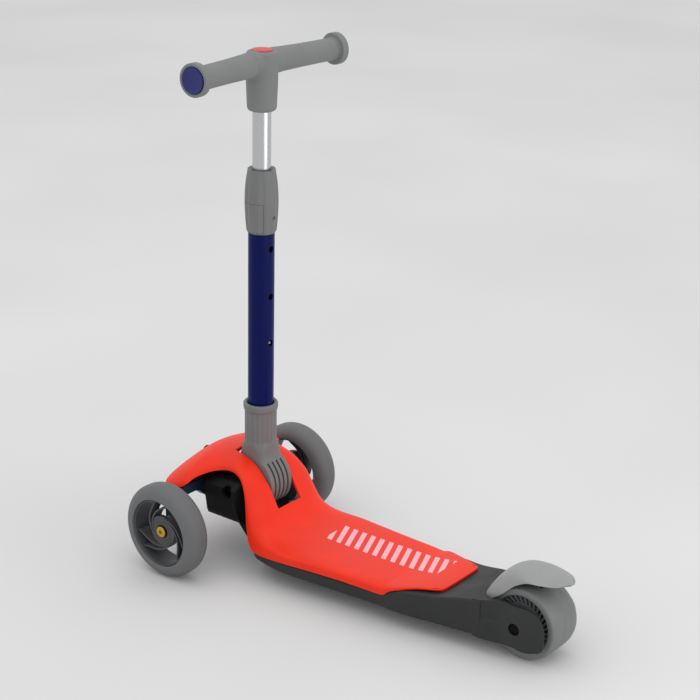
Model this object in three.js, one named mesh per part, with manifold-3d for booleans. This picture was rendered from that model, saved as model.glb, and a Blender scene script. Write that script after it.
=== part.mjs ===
// A folding kick scooter for a small child: two spoked wheels in front on a truck that steers by leaning,
// one broad wheel behind under a pressed brake, a hollow moulded deck, and a telescopic column with a T bar.
// Millimetres. The group's origin is on the ground, below the middle of the scooter's outer box:
// +X points forward, +Y to the rider's left and +Z up.
import * as THREE from "three";
import { mergeVertices } from "three/addons/utils/BufferGeometryUtils.js";
import Module from "manifold-3d";

// Main places, measured inside the model from the front axle, the middle plane and the ground. What lies
// inside the hump, such as the truck, the head block and the fold parts, has heights that follow its crown.
const trackWidth = 244;
const wheelbase = 460;
const coverCrownHeight = 140;
const foldPivotBehindAxle = 46.5;
const foldPivotUnderCrown = 39;
const foldPivotHeight = coverCrownHeight - foldPivotUnderCrown;
const columnLeanDegrees = 2;

// Fits shared by many pieces: the gap between pieces that rest on each other, the running gap of a pin
// in its bore, and how far a cutting tool passes the face that it cuts.
const seatGap = 0.3;
const runningGap = 0.2;
const overrun = 1;

// How finely round stretches are cut into facets: sides of pins, of small and of large round pieces and of
// tyres, and steps of a tyre's shoulder and of a fillet.
const pinSides = 8;
const smallSides = 12;
const largeSides = 16;
const tyreSides = 20;
const shoulderSteps = 2;
const filletSteps = 2;

// Front wheels: the tyre, the rim band it sits on, the hub and three pairs of swept ribs.
const frontWheelRadius = 60;
const frontTyreWidth = 34;
const frontTyreShoulder = 13.5;
const frontTyreBore = 42;
const rimBandWidth = 29;
const rimBandWall = 3;
const hubDiscRadius = 19.5;
const hubDiscWidth = 5;
const hubBarrelRadius = 14.5;
const hubOuterFace = 8;
const hubInnerFace = 13;
const spokeCount = 3;
const spokeSweepDegrees = 78;
const spokeSpreadDegrees = 46;
const spokeRibWidth = 2.4;
const spokeRibHeight = 15;
const spokeWebWidth = 4;
const spokeSteps = 3;

// Ball bearings of all three wheels, and the sleeve between each pair.
const bearingRadius = 11;
const bearingBore = 4;
const bearingWidth = 7;
const spacerRadius = 6;
const hubCoreRadius = 8.5;

// Front axle bolts and nuts.
const axleBoltRadius = 3.8;
const axleHeadRadius = 8;
const axleHeadHeight = 4;
const axleSocketRadius = 3;
const axleSocketDepth = 2.4;
const nutRadius = 7.5;
const nutHeight = 6;

// Lean-steer truck: a hub on a sloping kingpin, a crossbar and two cranked arms.
const kingpinAheadOfAxle = 20;
const kingpinHeightShare = 4 / 7;
const kingpinHeight = coverCrownHeight * kingpinHeightShare;
const kingpinSlopeDegrees = 40;
const kingpinRadius = 6;
const kingpinHeadRadius = 10;
const kingpinHeadHeight = 5;
const kingpinNutPlace = -46;
const kingpinNutRadius = 8.5;
const kingpinNutHeight = 6;
const truckHubRadius = 16;
const truckHubLength = 26;
const crossbarHalfWidth = 38;
const crossbarThickness = 12;
const crossbarBottomShare = 0.5142857;
const crossbarBottom = coverCrownHeight * crossbarBottomShare;
const crossbarTopShare = 0.6857143;
const crossbarTop = coverCrownHeight * crossbarTopShare;
const crossbarFillet = 6;
const wheelInnerClearance = 24;
const armBossProud = 5;
const armReach = trackWidth / 2 - wheelInnerClearance;
const armStrutTop = crossbarTop;
const armStrutHeight = 12;
const armPostWidth = 13;
const armPostBack = 8;
const armBossRadius = 11;
const armBossFace = armReach + armBossProud;
const armCollarRadius = 6;
const bushingRadius = 13;
const bushingLength = 8;

// Deck cover: one moulded skin from the tail of the deck over the hump to the nose and its two wings.
const coverWall = 2.8;
const coverTailAheadOfWheel = 100;
const coverTailBehindAxle = wheelbase - coverTailAheadOfWheel;
const coverHumpBehindAxle = 125;
const deckHeight = 52;
const deckHalfWidth = 72;
const coverWingHalfSpan = 94;
const coverRowCount = 24;
const coverColumnCount = 5;
const slotHalfWidth = 21;
const slotFrontBehindAxle = 24;
const slotRearBehindAxle = 95;
const slotRearHeightShare = 0.5428571;
const slotRearHeight = coverCrownHeight * slotRearHeightShare;
const slotFloorHeightShare = 0.4428571;
const slotFloorHeight = coverCrownHeight * slotFloorHeightShare;
const slotLipRun = 15;
const slotLipDrop = 18;
const slotLipWall = 2.5;

// Chassis: the black moulding under the deck, its raised tail and the two cheeks beside the rear wheel.
const chassisWall = 3;
const chassisSeatRun = 30;
const chassisTailRun = 170;
const chassisTailGap = 44;
const chassisTailHollowEnd = 28;
const chassisBottomHeight = 20;
const chassisFillet = 6;
const chassisFrontBehindAxle = 72;
const chassisLedgeHeight = 36;
const chassisCoreEnd = coverTailBehindAxle - chassisSeatRun;
const chassisCoreRowCount = 7;
const chassisCoreColumnCount = 4;
const chassisTailStart = wheelbase - chassisTailRun;
const chassisTailEnd = wheelbase - chassisTailGap;
const chassisTailHeight = 67;
const chassisRowCount = 6;
const ribPitch = 110;
const ribWall = 2.5;
const ribRise = 5;
const ribLineOffset = 23;
const cheekHalfWidth = 40;
const cheekWall = 8;
const cheekRadius = 36;
const cheekEdgeWall = 4.5;
const cheekRoundRadius = 27;
const cheekFlatRadius = 18;
const cheekBossRadius = 9;
const wheelWellGap = 3.5;
const wheelSideGap = 7.5;

// Head block: the moulding inside the hump that holds the fold pin and the kingpin.
const headFrontAheadOfAxle = 6;
const headRearBehindAxle = 60;
const headBottomHeightShare = 0.4;
const headBottomHeight = coverCrownHeight * headBottomHeightShare;
const headTopHeightShare = 0.7964286;
const headTopHeight = coverCrownHeight * headTopHeightShare;
const headTopHalfWidth = 70;
const headBottomHalfWidth = 54;
const headCornerRun = 20;
const headFrontHalfWidth = 36;
const headFillet = 14;
const headFootHeight = 24;
const headFootHalfWidth = 34;
const headFootTopShare = 0.4714286;
const headFootTop = coverCrownHeight * headFootTopShare;
const kingpinBossRadius = 15;
const kingpinBossLength = 34;
const buttonBossHalfWidth = 10;
const buttonBossTopShare = 0.85;
const buttonBossTop = coverCrownHeight * buttonBossTopShare;
const buttonBossRear = 8;
const drumGap = 1;
const foldPinRadius = 5;
const foldPinHeadRadius = 8;
const foldPinHeadHeight = 3;
const foldPinInset = 12;
const foldPinHalfLength = headTopHalfWidth - foldPinInset;
const bellyBoltRadius = 4.5;
const bellyBoltHeight = 3;
const bellyShankRadius = 2.5;
const bellyShankLength = 14;
const bellyBoltBehindAxle = 10;
const bellyBoltOffset = 22;

// Fold button in the nose, and its plunger that ends just short of the drum.
const foldButtonHeightShare = 0.7928571;
const foldButtonHeight = coverCrownHeight * foldButtonHeightShare;
const foldButtonRadius = 8;
const foldButtonFront = 47;
const foldButtonCap = 12;
const foldPlungerRadius = 4;
const foldPlungerGap = 4;

// Foot of the column: ribbed drum on the fold pin, fluted neck and lip ring.
const drumRadius = 36;
const drumWidth = 38;
const drumSlotInnerPlace = 3.8;
const drumSlotOuterPlace = 11.4;
const drumSlotWidth = 2.9;
const drumSlotDepth = 11;
const drumSlotTopDegrees = 52;
const drumSlotBottomDegrees = -64;
const neckRadius = 20;
const neckFluteCount = 16;
const neckFluteDepth = 0.7;
const neckFillet = 24;
const lipRadius = 21.6;
const lipHeight = 10;
const lipRound = 2.5;
const footTop = 104;

// Column tube with the holes of the height setting, and the sleeve clamped round its top.
const tubeRadius = 16;
const tubeWall = 1.6;
const tubeBottom = 42;
const tubeTop = 352;
const heightHoleRadius = 4;
const heightHoleFirst = 185;
const heightHolePitch = 60;
const heightHoleCount = 3;
const sleeveBottom = 324.5;
const sleeveTop = 402;
const sleeveBottomRadius = 18.4;
const sleeveBellyRadius = 20.6;
const sleeveTopRadius = 16.6;
const sleeveBellyHeight = 363;
const sleeveFluteCount = 12;
const sleeveRingCount = 3;
const sleeveFluteDepth = 0.9;
const panelFromDegrees = 39;
const panelToDegrees = 140;
const coverPanelTop = 362.5;
const coverPanelDepth = 2.4;
const clampScrewHeight = 345;
const clampScrewRadius = 2.2;
const bushLength = 32;

// Stem: the tube that slides in the column, the T boss, the bar, its grips and its caps.
const stemRadius = 11.1;
const stemWall = 1.5;
const stemBottom = 165;
const stemTop = 515;
const bossBottom = 471.5;
const bossTop = 542;
const bossRadius = 18;
const bossRound = 6;
const bossMouthRound = 2;
const bossSaddleReach = 24;
const bossSaddleRadius = 15.4;
const barHeight = 528;
const barRadius = 9.5;
const barWall = 1.6;
const barSweepDegrees = 4.5;
const gripRadius = 13.6;
const gripRootRadius = 14.8;
const gripEnd = 125;
const flangeRadius = 19.2;
const flangeWidth = 9;
const flangeRound = 3;
const endCapRadius = 15;
const endCapHeight = 3;
const endCapProud = 1.2;
const bossCapRadius = 12.5;
const bossCapDepth = 2;
const bossCapProud = 1.5;
const barEndGap = 4;
const snapButtonRadius = 3.4;
const snapButtonRear = 14;
const snapButtonInset = 7;
const snapLeafHeight = 34;
const snapLeafWidth = 7;
const snapLeafWall = 0.8;

// Rear wheel with its ring of radial fins, and its bolt.
const rearWheelRadius = 45;
const rearTyreWidth = 49;
const rearTyreShoulder = 12.5;
const rearTyreDrop = 3.4;
const rearTyreBore = 35.2;
const rearFinInnerRadius = 28;
const rearBandWall = 1;
const rearFinCount = 32;
const rearFinWidth = 2.6;
const rearDishDepth = 4.5;
const rearHubBarrel = 14;
const rearHubHalfWidth = 24;
const rearRimHalfWidth = 23;
const rearBoltRadius = 3.8;
const rearBoltHead = 6.5;
const rearBoltHeadHeight = 3;
const rearBoltRecess = 7;
const rearBoltRecessDepth = 4.5;

// Brake: a domed fender on a pin ahead of the rear wheel, with a steel shoe below it.
const brakePinAheadOfWheel = 49;
const brakeTailBehindWheel = 51;
const brakePinBehindAxle = wheelbase - brakePinAheadOfWheel;
const brakePinHeight = 62;
const brakePinRadius = 2.5;
const brakePinHalfLength = 24;
const brakeLugRadius = 5.5;
const brakeLugHalfWidth = 9;
const brakeLugGap = 0.6;
const brakeWall = 2.4;
const brakeTailBehindAxle = wheelbase + brakeTailBehindWheel;
const brakeHalfWidth = 28.5;
const brakeCrownHeight = 112;
const brakeRowCount = 10;
const brakeColumnCount = 3;
const brakeShoeHalfWidth = 14;
const brakeShoeWall = 1.5;
const brakeShoeGap = 5.6;
const brakeShoeStartDegrees = 66;
const brakeShoeEndDegrees = 112;
const brakeRibOffset = 9;
const brakeRibWall = 2.4;
const brakeSpringOuter = 17;

// Rows of the cover's skin along the deck and over the hump, from tail to nose: forward places are shares of
// the deck run behind the hump or of the hump's own run, widths shares of the deck's or the wings' half
// width, and heights shares of the deck's or the crown's height. The last number is the squareness.
const deckRowShares = [
  [1.0, 1.154, 0.957, 0.528, 1.096, 5],
  [0.966, 1.154, 0.936, 0.576, 1.087, 6],
  [0.894, 1.131, 0.872, 0.653, 1.054, 7],
  [0.821, 1.088, 0.809, 0.75, 1.0, 7],
  [0.766, 1.05, 0.762, 0.826, 0.952, 7],
  [0.732, 1.031, 0.732, 0.854, 0.885, 7],
  [0.702, 1.019, 0.702, 0.861, 0.788, 6],
  [0.617, 1.008, 0.617, 0.882, 0.76, 6],
  [0.447, 1.0, 0.447, 0.91, 0.75, 6],
  [0.277, 1.0, 0.277, 0.951, 0.731, 6],
  [0.149, 1.006, 0.115, 0.993, 0.712, 5.5],
  [0.055, 1.038, -0.013, 1.0, 0.692, 5],
];
const humpRowShares = [
  [0.976, 0.414, 0.808, 0.745, 0.264, 4.2],
  [0.88, 0.457, 0.72, 0.718, 0.307, 3.6],
  [0.808, 0.514, 0.676, 0.691, 0.393, 3.2],
  [0.76, 0.571, 0.648, 0.67, 0.5, 3],
  [0.712, 0.65, 0.62, 0.638, 0.607, 2.9],
  [0.648, 0.754, 0.584, 0.606, 0.7, 2.8],
  [0.576, 0.839, 0.536, 0.569, 0.764, 2.6],
  [0.488, 0.911, 0.48, 0.532, 0.818, 2.5],
  [0.392, 0.957, 0.408, 0.5, 0.854, 2.4],
  [0.288, 0.986, 0.32, 0.495, 0.875, 2.3],
  [0.176, 1.0, 0.224, 0.543, 0.875, 2.2],
  [0.064, 1.0, 0.128, 0.649, 0.857, 2.1],
  [-0.04, 0.986, 0.056, 0.809, 0.825, 1.9],
  [-0.128, 0.961, 0.016, 0.936, 0.779, 1.8],
  [-0.208, 0.921, -0.064, 1.0, 0.736, 1.8],
  [-0.28, 0.868, -0.176, 1.0, 0.721, 1.8],
  [-0.344, 0.8, -0.272, 0.936, 0.714, 1.9],
  [-0.392, 0.714, -0.336, 0.79, 0.686, 2.1],
  [-0.416, 0.629, -0.376, 0.62, 0.629, 2.3],
];

// Stations of the chassis under the cover and of its tail: places as shares of the run from its front to the
// start of the tail, or from there to its end, half widths of the deck's half width, tops of the tail's top.
// The rear edge of a cheek is given behind and above the wheel's axle, with its rounding, all as shares of
// the cheek's reach.
const chassisSideShares = [
  [0, 0.778],
  [0.06, 0.889],
  [0.128, 0.944],
  [0.312, 0.979],
  [0.587, 0.889],
  [0.8, 0.83],
  [1.03, 0.8],
];
const cheekRearShares = [
  [0, 0.75, 0.3],
  [0.53, 0.69, 0.2],
  [0.89, 0.28, 0.3],
  [1, -0.14, 0.3],
  [0.83, -0.69, 0.2],
];
const tailSideShares = [
  [0, 0.799, 0.687],
  [0.08, 0.82, 0.72],
  [0.24, 0.792, 0.799],
  [0.48, 0.722, 0.851],
  [0.6, 0.694, 0.925],
  [0.79, 0.639, 0.97],
  [1, 0.597, 1],
];

// Rows of the brake fender from its tip to its pin: forward places and heights as shares of the way from the
// pin to the tip and of the crown height, half widths of the fender's half width.
const brakeRowShares = [
  [1.0, 0.982, 0.99, 0.3, 0.97, 2.4],
  [0.95, 0.99, 0.94, 0.55, 0.945, 2.6],
  [0.85, 0.994, 0.87, 0.78, 0.926, 2.8],
  [0.67, 1.0, 0.7, 0.96, 0.92, 3],
  [0.5, 1.0, 0.54, 1.0, 0.9, 3.2],
  [0.34, 0.966, 0.39, 1.0, 0.84, 3.4],
  [0.17, 0.855, 0.23, 1.0, 0.765, 3.4],
  [0.05, 0.68, 0.08, 0.94, 0.655, 3.2],
];

const looks = {
  cover: { color: 0xe8402c, roughness: 0.38, metalness: 0 },
  chassis: { color: 0x37383a, roughness: 0.6, metalness: 0 },
  darkMoulding: { color: 0x1c1d1f, roughness: 0.65, metalness: 0 },
  greyMoulding: { color: 0x7d7e7e, roughness: 0.5, metalness: 0 },
  grip: { color: 0x7b7d7d, roughness: 0.72, metalness: 0 },
  brake: { color: 0x979899, roughness: 0.45, metalness: 0 },
  blueTube: { color: 0x15266b, roughness: 0.35, metalness: 0.1 },
  blueCap: { color: 0x253070, roughness: 0.5, metalness: 0 },
  red: { color: 0xc8554c, roughness: 0.45, metalness: 0 },
  silver: { color: 0xc0c1c4, roughness: 0.28, metalness: 1 },
  steel: { color: 0x8d9094, roughness: 0.4, metalness: 1 },
  blueSteel: { color: 0x2b4054, roughness: 0.45, metalness: 1 },
  gold: { color: 0xc7a046, roughness: 0.35, metalness: 1 },
  frontTyre: { color: 0x6e6f70, roughness: 0.62, metalness: 0 },
  rearTyre: { color: 0x7a7b7b, roughness: 0.55, metalness: 0 },
  rim: { color: 0x3f4043, roughness: 0.5, metalness: 0 },
  rubber: { color: 0x222222, roughness: 0.9, metalness: 0 },
};

const radians = THREE.MathUtils.degToRad;
const rightAngle = Math.PI / 2;
const halfTurn = Math.PI;
const fullTurn = 2 * Math.PI;

const wasm = await Module();
wasm.setup();

// A closed geometry as a solid that can be joined and cut.
function solid(geometry) {
  const bare = geometry.clone();
  bare.deleteAttribute("normal");
  bare.deleteAttribute("uv");
  const merged = mergeVertices(bare);
  const vertProperties = merged.getAttribute("position").array;
  const triVerts = new Uint32Array(merged.index.array);
  return new wasm.Manifold(new wasm.Mesh({ numProp: 3, vertProperties, triVerts }));
}

function join(...bodies) {
  return bodies.reduce((whole, body) => whole.add(body));
}

function cut(body, ...tools) {
  return tools.reduce((rest, tool) => rest.subtract(tool), body);
}

// Points of a closed outline whose corners, given as [across, up, fillet], are rounded by arcs.
function outline(corners, steps = filletSteps) {
  const points = [];
  corners.forEach(([x, y, fillet], i) => {
    const corner = new THREE.Vector2(x, y);
    const before = corners[(i + corners.length - 1) % corners.length];
    const after = corners[(i + 1) % corners.length];
    const back = new THREE.Vector2(before[0], before[1]).sub(corner);
    const ahead = new THREE.Vector2(after[0], after[1]).sub(corner);
    const room = Math.min(back.length(), ahead.length()) / 2;
    back.normalize();
    ahead.normalize();
    const halfAngle = Math.acos(THREE.MathUtils.clamp(back.dot(ahead), -1, 1)) / 2;
    const radius = Math.min(fillet, room * Math.tan(halfAngle));
    if (!(radius > 0)) {
      points.push(corner);
      return;
    }
    const middle = back.clone().add(ahead).normalize();
    const centre = corner.clone().addScaledVector(middle, radius / Math.sin(halfAngle));
    const tangent = radius / Math.tan(halfAngle);
    const from = corner.clone().addScaledVector(back, tangent).sub(centre);
    const to = corner.clone().addScaledVector(ahead, tangent).sub(centre);
    let turn = to.angle() - from.angle();
    if (turn > halfTurn) turn -= fullTurn;
    if (turn < -halfTurn) turn += fullTurn;
    for (let step = 0; step <= steps; step++) {
      points.push(centre.clone().add(from.clone().rotateAround(new THREE.Vector2(), (turn * step) / steps)));
    }
  });
  return points;
}

function circlePoints(radius, sides, x = 0, y = 0) {
  return Array.from({ length: sides }, (_, i) => {
    const angle = (fullTurn * i) / sides;
    return new THREE.Vector2(x + radius * Math.cos(angle), y + radius * Math.sin(angle));
  });
}

// An outline pushed out along Z by a depth, from z = 0, with holes if any.
function plate(points, depth, holes = []) {
  const shape = new THREE.Shape(points);
  shape.holes = holes.map((hole) => new THREE.Path(hole));
  return new THREE.ExtrudeGeometry(shape, { depth, bevelEnabled: false });
}

// A side view outline (forward, up) made as thick as width, centred on the middle plane.
function sidePlate(points, width, holes = []) {
  return plate(points, width, holes).translate(0, 0, -width / 2).rotateX(rightAngle);
}

// A front view outline (left, up) reaching from x = back to x = front.
function frontPlate(points, back, front) {
  return plate(points, front - back).rotateX(rightAngle).rotateZ(rightAngle).translate(back, 0, 0);
}

// A plan outline (forward, left) reaching from z = bottom to z = top.
function planPlate(points, bottom, top) {
  return plate(points, top - bottom).translate(0, 0, bottom);
}

// A box given by its low and high corner.
function block(low, high) {
  const size = high.map((value, i) => value - low[i]);
  const centre = high.map((value, i) => (value + low[i]) / 2);
  return new THREE.BoxGeometry(...size).translate(...centre);
}

// Radius of a bore with flat-faceted walls that still clears a round pin by the running gap.
function boreFor(radius, sides, gap = runningGap) {
  return (radius + gap) / Math.cos(halfTurn / sides);
}

// Cylinders along each axis, from one end to the other.
function rodY(radius, from, to, sides = smallSides) {
  return new THREE.CylinderGeometry(radius, radius, to - from, sides).translate(0, (from + to) / 2, 0);
}

function rodZ(radius, from, to, sides = smallSides) {
  return rodY(radius, from, to, sides).rotateX(rightAngle);
}

function rodX(radius, from, to, sides = smallSides) {
  return rodY(radius, from, to, sides).rotateZ(-rightAngle);
}

// A profile of [radius, place] corners with fillets, turned about the Y axis.
function turned(corners, sides = largeSides, steps = filletSteps) {
  const points = outline(corners, steps);
  points.push(points[0].clone());
  return new THREE.LatheGeometry(points, sides);
}

// The same, turned about the Z axis.
function turnedZ(corners, sides = largeSides, steps = filletSteps) {
  return turned(corners, sides, steps).rotateX(rightAngle);
}

// A closed body from a list of triangles' corners and their numbering.
function bodyFrom(points, faces) {
  const geometry = new THREE.BufferGeometry();
  geometry.setAttribute("position", new THREE.Float32BufferAttribute(points.flatMap((p) => p.toArray()), 3));
  geometry.setIndex(faces.flat());
  return geometry;
}

// Two matching grids of points, the first outside the second, closed round their four edges.
function closedBetween(outer, inner) {
  const rows = outer.length;
  const columns = outer[0].length;
  const points = [...outer.flat(), ...inner.flat()];
  const at = (layer, row, column) => layer * rows * columns + row * columns + column;
  const faces = [];
  const quad = (a, b, c, d) => faces.push([a, b, c], [a, c, d]);
  for (let row = 0; row + 1 < rows; row++) {
    for (let column = 0; column + 1 < columns; column++) {
      const next = [row + 1, column + 1];
      quad(at(0, row, column), at(0, next[0], column), at(0, next[0], next[1]), at(0, row, next[1]));
      quad(at(1, row, column), at(1, row, next[1]), at(1, next[0], next[1]), at(1, next[0], column));
    }
  }
  for (let row = 0; row + 1 < rows; row++) {
    const last = columns - 1;
    quad(at(0, row, 0), at(1, row, 0), at(1, row + 1, 0), at(0, row + 1, 0));
    quad(at(0, row, last), at(0, row + 1, last), at(1, row + 1, last), at(1, row, last));
  }
  for (let column = 0; column + 1 < columns; column++) {
    const last = rows - 1;
    quad(at(0, 0, column), at(0, 0, column + 1), at(1, 0, column + 1), at(1, 0, column));
    quad(at(0, last, column), at(1, last, column), at(1, last, column + 1), at(0, last, column + 1));
  }
  return bodyFrom(points, faces);
}

// The space under a grid, down to a level floor.
function spaceUnder(grid, floor) {
  const bottom = grid.map((line) => line.map((point) => new THREE.Vector3(point.x, point.y, floor)));
  return closedBetween(grid, bottom);
}

// A skin from rows that each run from a crown point on the middle plane to an edge point on the left, and
// mirrored to the right. A row is [crown x, crown z, edge x, edge y, edge z, squareness]: at squareness 2 it
// is a quarter ellipse, and higher values flatten its top and steepen its side. An inset draws the skin in
// along the normal of the crown line and across at its edges, so that a skin and its inside never cross.
function skinGrid(table, rowCount, halfColumns, inset = 0) {
  const crown = new THREE.CatmullRomCurve3(table.map((row) => new THREE.Vector3(row[0], 0, row[1])));
  const edge = new THREE.CatmullRomCurve3(table.map((row) => new THREE.Vector3(row[2], row[3], row[4])));
  const square = new THREE.CatmullRomCurve3(table.map((row) => new THREE.Vector3(row[5], 0, 0)));
  const grid = [];
  for (let row = 0; row < rowCount; row++) {
    const share = row / (rowCount - 1);
    const top = crown.getPoint(share);
    const run = crown.getTangent(share);
    top.x += run.z * inset;
    top.z -= run.x * inset;
    const end = edge.getPoint(share);
    const halfWidth = Math.max(end.y - inset, end.y / 4);
    const power = 2 / square.getPoint(share).x;
    const half = [];
    for (let column = 0; column <= halfColumns; column++) {
      const angle = (rightAngle * column) / halfColumns;
      const out = Math.sin(angle) ** power;
      const down = 1 - Math.max(Math.cos(angle), 0) ** power;
      half.push(
        new THREE.Vector3(
          THREE.MathUtils.lerp(top.x, end.x, down),
          halfWidth * out,
          THREE.MathUtils.lerp(top.z, end.z, down),
        ),
      );
    }
    const mirrored = half.slice(1).map((point) => new THREE.Vector3(point.x, -point.y, point.z));
    grid.push([...mirrored.reverse(), ...half]);
  }
  return grid;
}

// A closed loft through loops of equal length whose end loops are capped from their middles.
function loft(loops) {
  const count = loops[0].length;
  const points = loops.flat();
  const faces = [];
  for (let ring = 0; ring + 1 < loops.length; ring++) {
    for (let i = 0; i < count; i++) {
      const next = (i + 1) % count;
      const a = ring * count + i;
      const b = ring * count + next;
      faces.push([a, b, b + count], [a, b + count, a + count]);
    }
  }
  for (const [ring, flip] of [[0, true], [loops.length - 1, false]]) {
    const middle = loops[ring].reduce((sum, p) => sum.add(p), new THREE.Vector3()).divideScalar(count);
    points.push(middle);
    const hub = points.length - 1;
    for (let i = 0; i < count; i++) {
      const a = ring * count + i;
      const b = ring * count + ((i + 1) % count);
      faces.push(flip ? [hub, b, a] : [hub, a, b]);
    }
  }
  return bodyFrom(points, faces);
}

// A named mesh in a group, from a solid or a geometry.
function addPiece(parent, name, body, look) {
  const whole = body.isBufferGeometry ? solid(body) : body;
  const { vertProperties, triVerts } = whole.getMesh();
  const geometry = new THREE.BufferGeometry();
  geometry.setAttribute("position", new THREE.BufferAttribute(vertProperties, 3));
  geometry.setIndex(new THREE.BufferAttribute(triVerts, 1));
  geometry.computeVertexNormals();
  const mesh = new THREE.Mesh(geometry, new THREE.MeshStandardMaterial(look));
  mesh.name = name;
  parent.add(mesh);
  return mesh;
}

function addGroup(parent, x, y, z) {
  const group = new THREE.Group();
  group.position.set(x, y, z);
  parent.add(group);
  return group;
}

const scooter = new THREE.Group();
const frontmost = frontWheelRadius;
const rearmost = -brakeTailBehindAxle;
const frame = addGroup(scooter, -(frontmost + rearmost) / 2, 0, 0);

// A round sleeve about the Y axis.
function sleeveY(bore, radius, from, to, sides = smallSides) {
  return turned([[bore, from, 0], [radius, from, 0], [radius, to, 0], [bore, to, 0]], sides);
}

// A hexagon nut about the Y axis.
function hexNut(threadRadius, radius, from, to) {
  const body = rodY(radius, from, to, 6);
  return cut(solid(body), solid(rodY(threadRadius + runningGap, from - overrun, to + overrun, pinSides)));
}

// Bearings and sleeve of a wheel on the Y axis, with the outer faces of the bearings at the two places given.
function addBearings(parent, prefix, [low, high], [highName, lowName]) {
  const bore = bearingBore + runningGap;
  const lowEnd = low + bearingWidth;
  const highEnd = high - bearingWidth;
  addPiece(parent, `${prefix}_${highName}`, sleeveY(bore, bearingRadius, highEnd, high), looks.steel);
  addPiece(parent, `${prefix}_${lowName}`, sleeveY(bore, bearingRadius, low, lowEnd), looks.steel);
  const spacer = sleeveY(bore, spacerRadius, lowEnd + seatGap, highEnd - seatGap, pinSides);
  addPiece(parent, `${prefix}_spacer`, spacer, looks.steel);
}

// A curve that leaves the hub at one angle and turns steadily as it runs out to the band.
function spiralPoint(share, fromRadius, toRadius, startAngle, sweep) {
  const radius = THREE.MathUtils.lerp(fromRadius, toRadius, share);
  const angle = startAngle + sweep * Math.sqrt(share);
  return new THREE.Vector2(radius * Math.cos(angle), radius * Math.sin(angle));
}

// Front wheel, with its axle along Y and its outer side at +Y: the spokes are three wedges of thin web, each
// between two raised ribs that leave the hub together and part as they sweep out to the band.
function frontRim() {
  const bandOuter = frontTyreBore - seatGap;
  const bandInner = bandOuter - rimBandWall;
  const halfBand = rimBandWidth / 2;
  const band = sleeveY(bandInner, bandOuter, -halfBand, halfBand, tyreSides);
  const barrel = turned([
    [0, -hubInnerFace, 0],
    [hubBarrelRadius, -hubInnerFace, 0],
    [hubBarrelRadius, hubOuterFace - hubDiscWidth, 0],
    [hubDiscRadius, hubOuterFace - hubDiscWidth, 0],
    [hubDiscRadius, hubOuterFace, hubDiscWidth / 4],
    [0, hubOuterFace, 0],
  ], smallSides, 1);
  const steps = spokeSteps;
  const start = hubBarrelRadius - spokeRibWidth / 2;
  const end = bandInner + rimBandWall / 2;
  const sweep = radians(spokeSweepDegrees);
  const spread = radians(spokeSpreadDegrees);
  const spoke = (turn) => {
    const edges = [[turn, sweep], [turn, sweep + spread]].map(([angle, total]) =>
      Array.from({ length: steps + 1 }, (_, i) => spiralPoint(i / steps, start, end, angle, total)),
    );
    const ribs = edges.map((edge) => {
      const side = (sign) =>
        edge.map((point, i) => {
          const along = edge[Math.min(i + 1, steps)].clone().sub(edge[Math.max(i - 1, 0)]).normalize();
          const across = new THREE.Vector2(-along.y, along.x);
          return point.clone().addScaledVector(across, (sign * spokeRibWidth) / 2);
        });
      return solid(sidePlate([...side(1), ...side(-1).reverse()], spokeRibHeight));
    });
    const web = solid(sidePlate([...edges[0], ...edges[1].slice(1).reverse()], spokeWebWidth));
    return join(web, ...ribs);
  };
  const spokes = Array.from({ length: spokeCount }, (_, i) => spoke((fullTurn * i) / spokeCount));
  const seatRadius = bearingRadius + seatGap;
  const outerSeat = rodY(seatRadius, hubOuterFace - bearingWidth - seatGap, hubOuterFace + overrun);
  const innerSeat = rodY(seatRadius, -hubInnerFace - overrun, -hubInnerFace + bearingWidth + seatGap);
  const core = rodY(hubCoreRadius, -hubInnerFace, hubOuterFace);
  return cut(join(solid(band), solid(barrel), ...spokes), solid(outerSeat), solid(innerSeat), solid(core));
}

// A solid tyre about the Y axis: a flat tread between two quarter-ellipse shoulders.
function tyre(bore, radius, width, shoulderRun, shoulderDrop) {
  const shoulder = (sign) =>
    Array.from({ length: shoulderSteps + 1 }, (_, i) => {
      const angle = (rightAngle * i) / shoulderSteps;
      const drop = shoulderDrop * (1 - Math.cos(angle));
      return new THREE.Vector2(radius - drop, sign * (width / 2 - shoulderRun * (1 - Math.sin(angle))));
    });
  const points = [
    new THREE.Vector2(bore, -width / 2),
    ...shoulder(-1).reverse(),
    ...shoulder(1),
    new THREE.Vector2(bore, width / 2),
    new THREE.Vector2(bore, -width / 2),
  ];
  return new THREE.LatheGeometry(points, tyreSides);
}

// The two front wheels are alike: the right one is the left one turned round, with its outer side out.
for (const [side, sign] of [["left", 1], ["right", -1]]) {
  const wheel = addGroup(frame, 0, (sign * trackWidth) / 2, frontWheelRadius);
  wheel.rotation.z = sign > 0 ? 0 : halfTurn;
  const tread = tyre(frontTyreBore, frontWheelRadius, frontTyreWidth, frontTyreShoulder, frontTyreShoulder);
  addPiece(wheel, `tyre_${side}`, tread, looks.frontTyre);
  addPiece(wheel, `rim_${side}`, frontRim(), looks.rim);
  addBearings(wheel, `wheel_${side}`, [-hubInnerFace, hubOuterFace], ["outer_bearing", "inner_bearing"]);
}

// Kingpin frame: its X axis runs up and forward along the pin that the truck leans on.
const kingpin = addGroup(frame, kingpinAheadOfAxle, 0, kingpinHeight);
kingpin.rotation.y = -radians(kingpinSlopeDegrees);
kingpin.updateMatrix();

// A geometry made in the kingpin frame, moved into the model's frame.
function alongKingpin(geometry) {
  return geometry.clone().applyMatrix4(kingpin.matrix);
}

const truckHalfHub = truckHubLength / 2;
const bushingRear = -truckHalfHub - seatGap - bushingLength;

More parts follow.
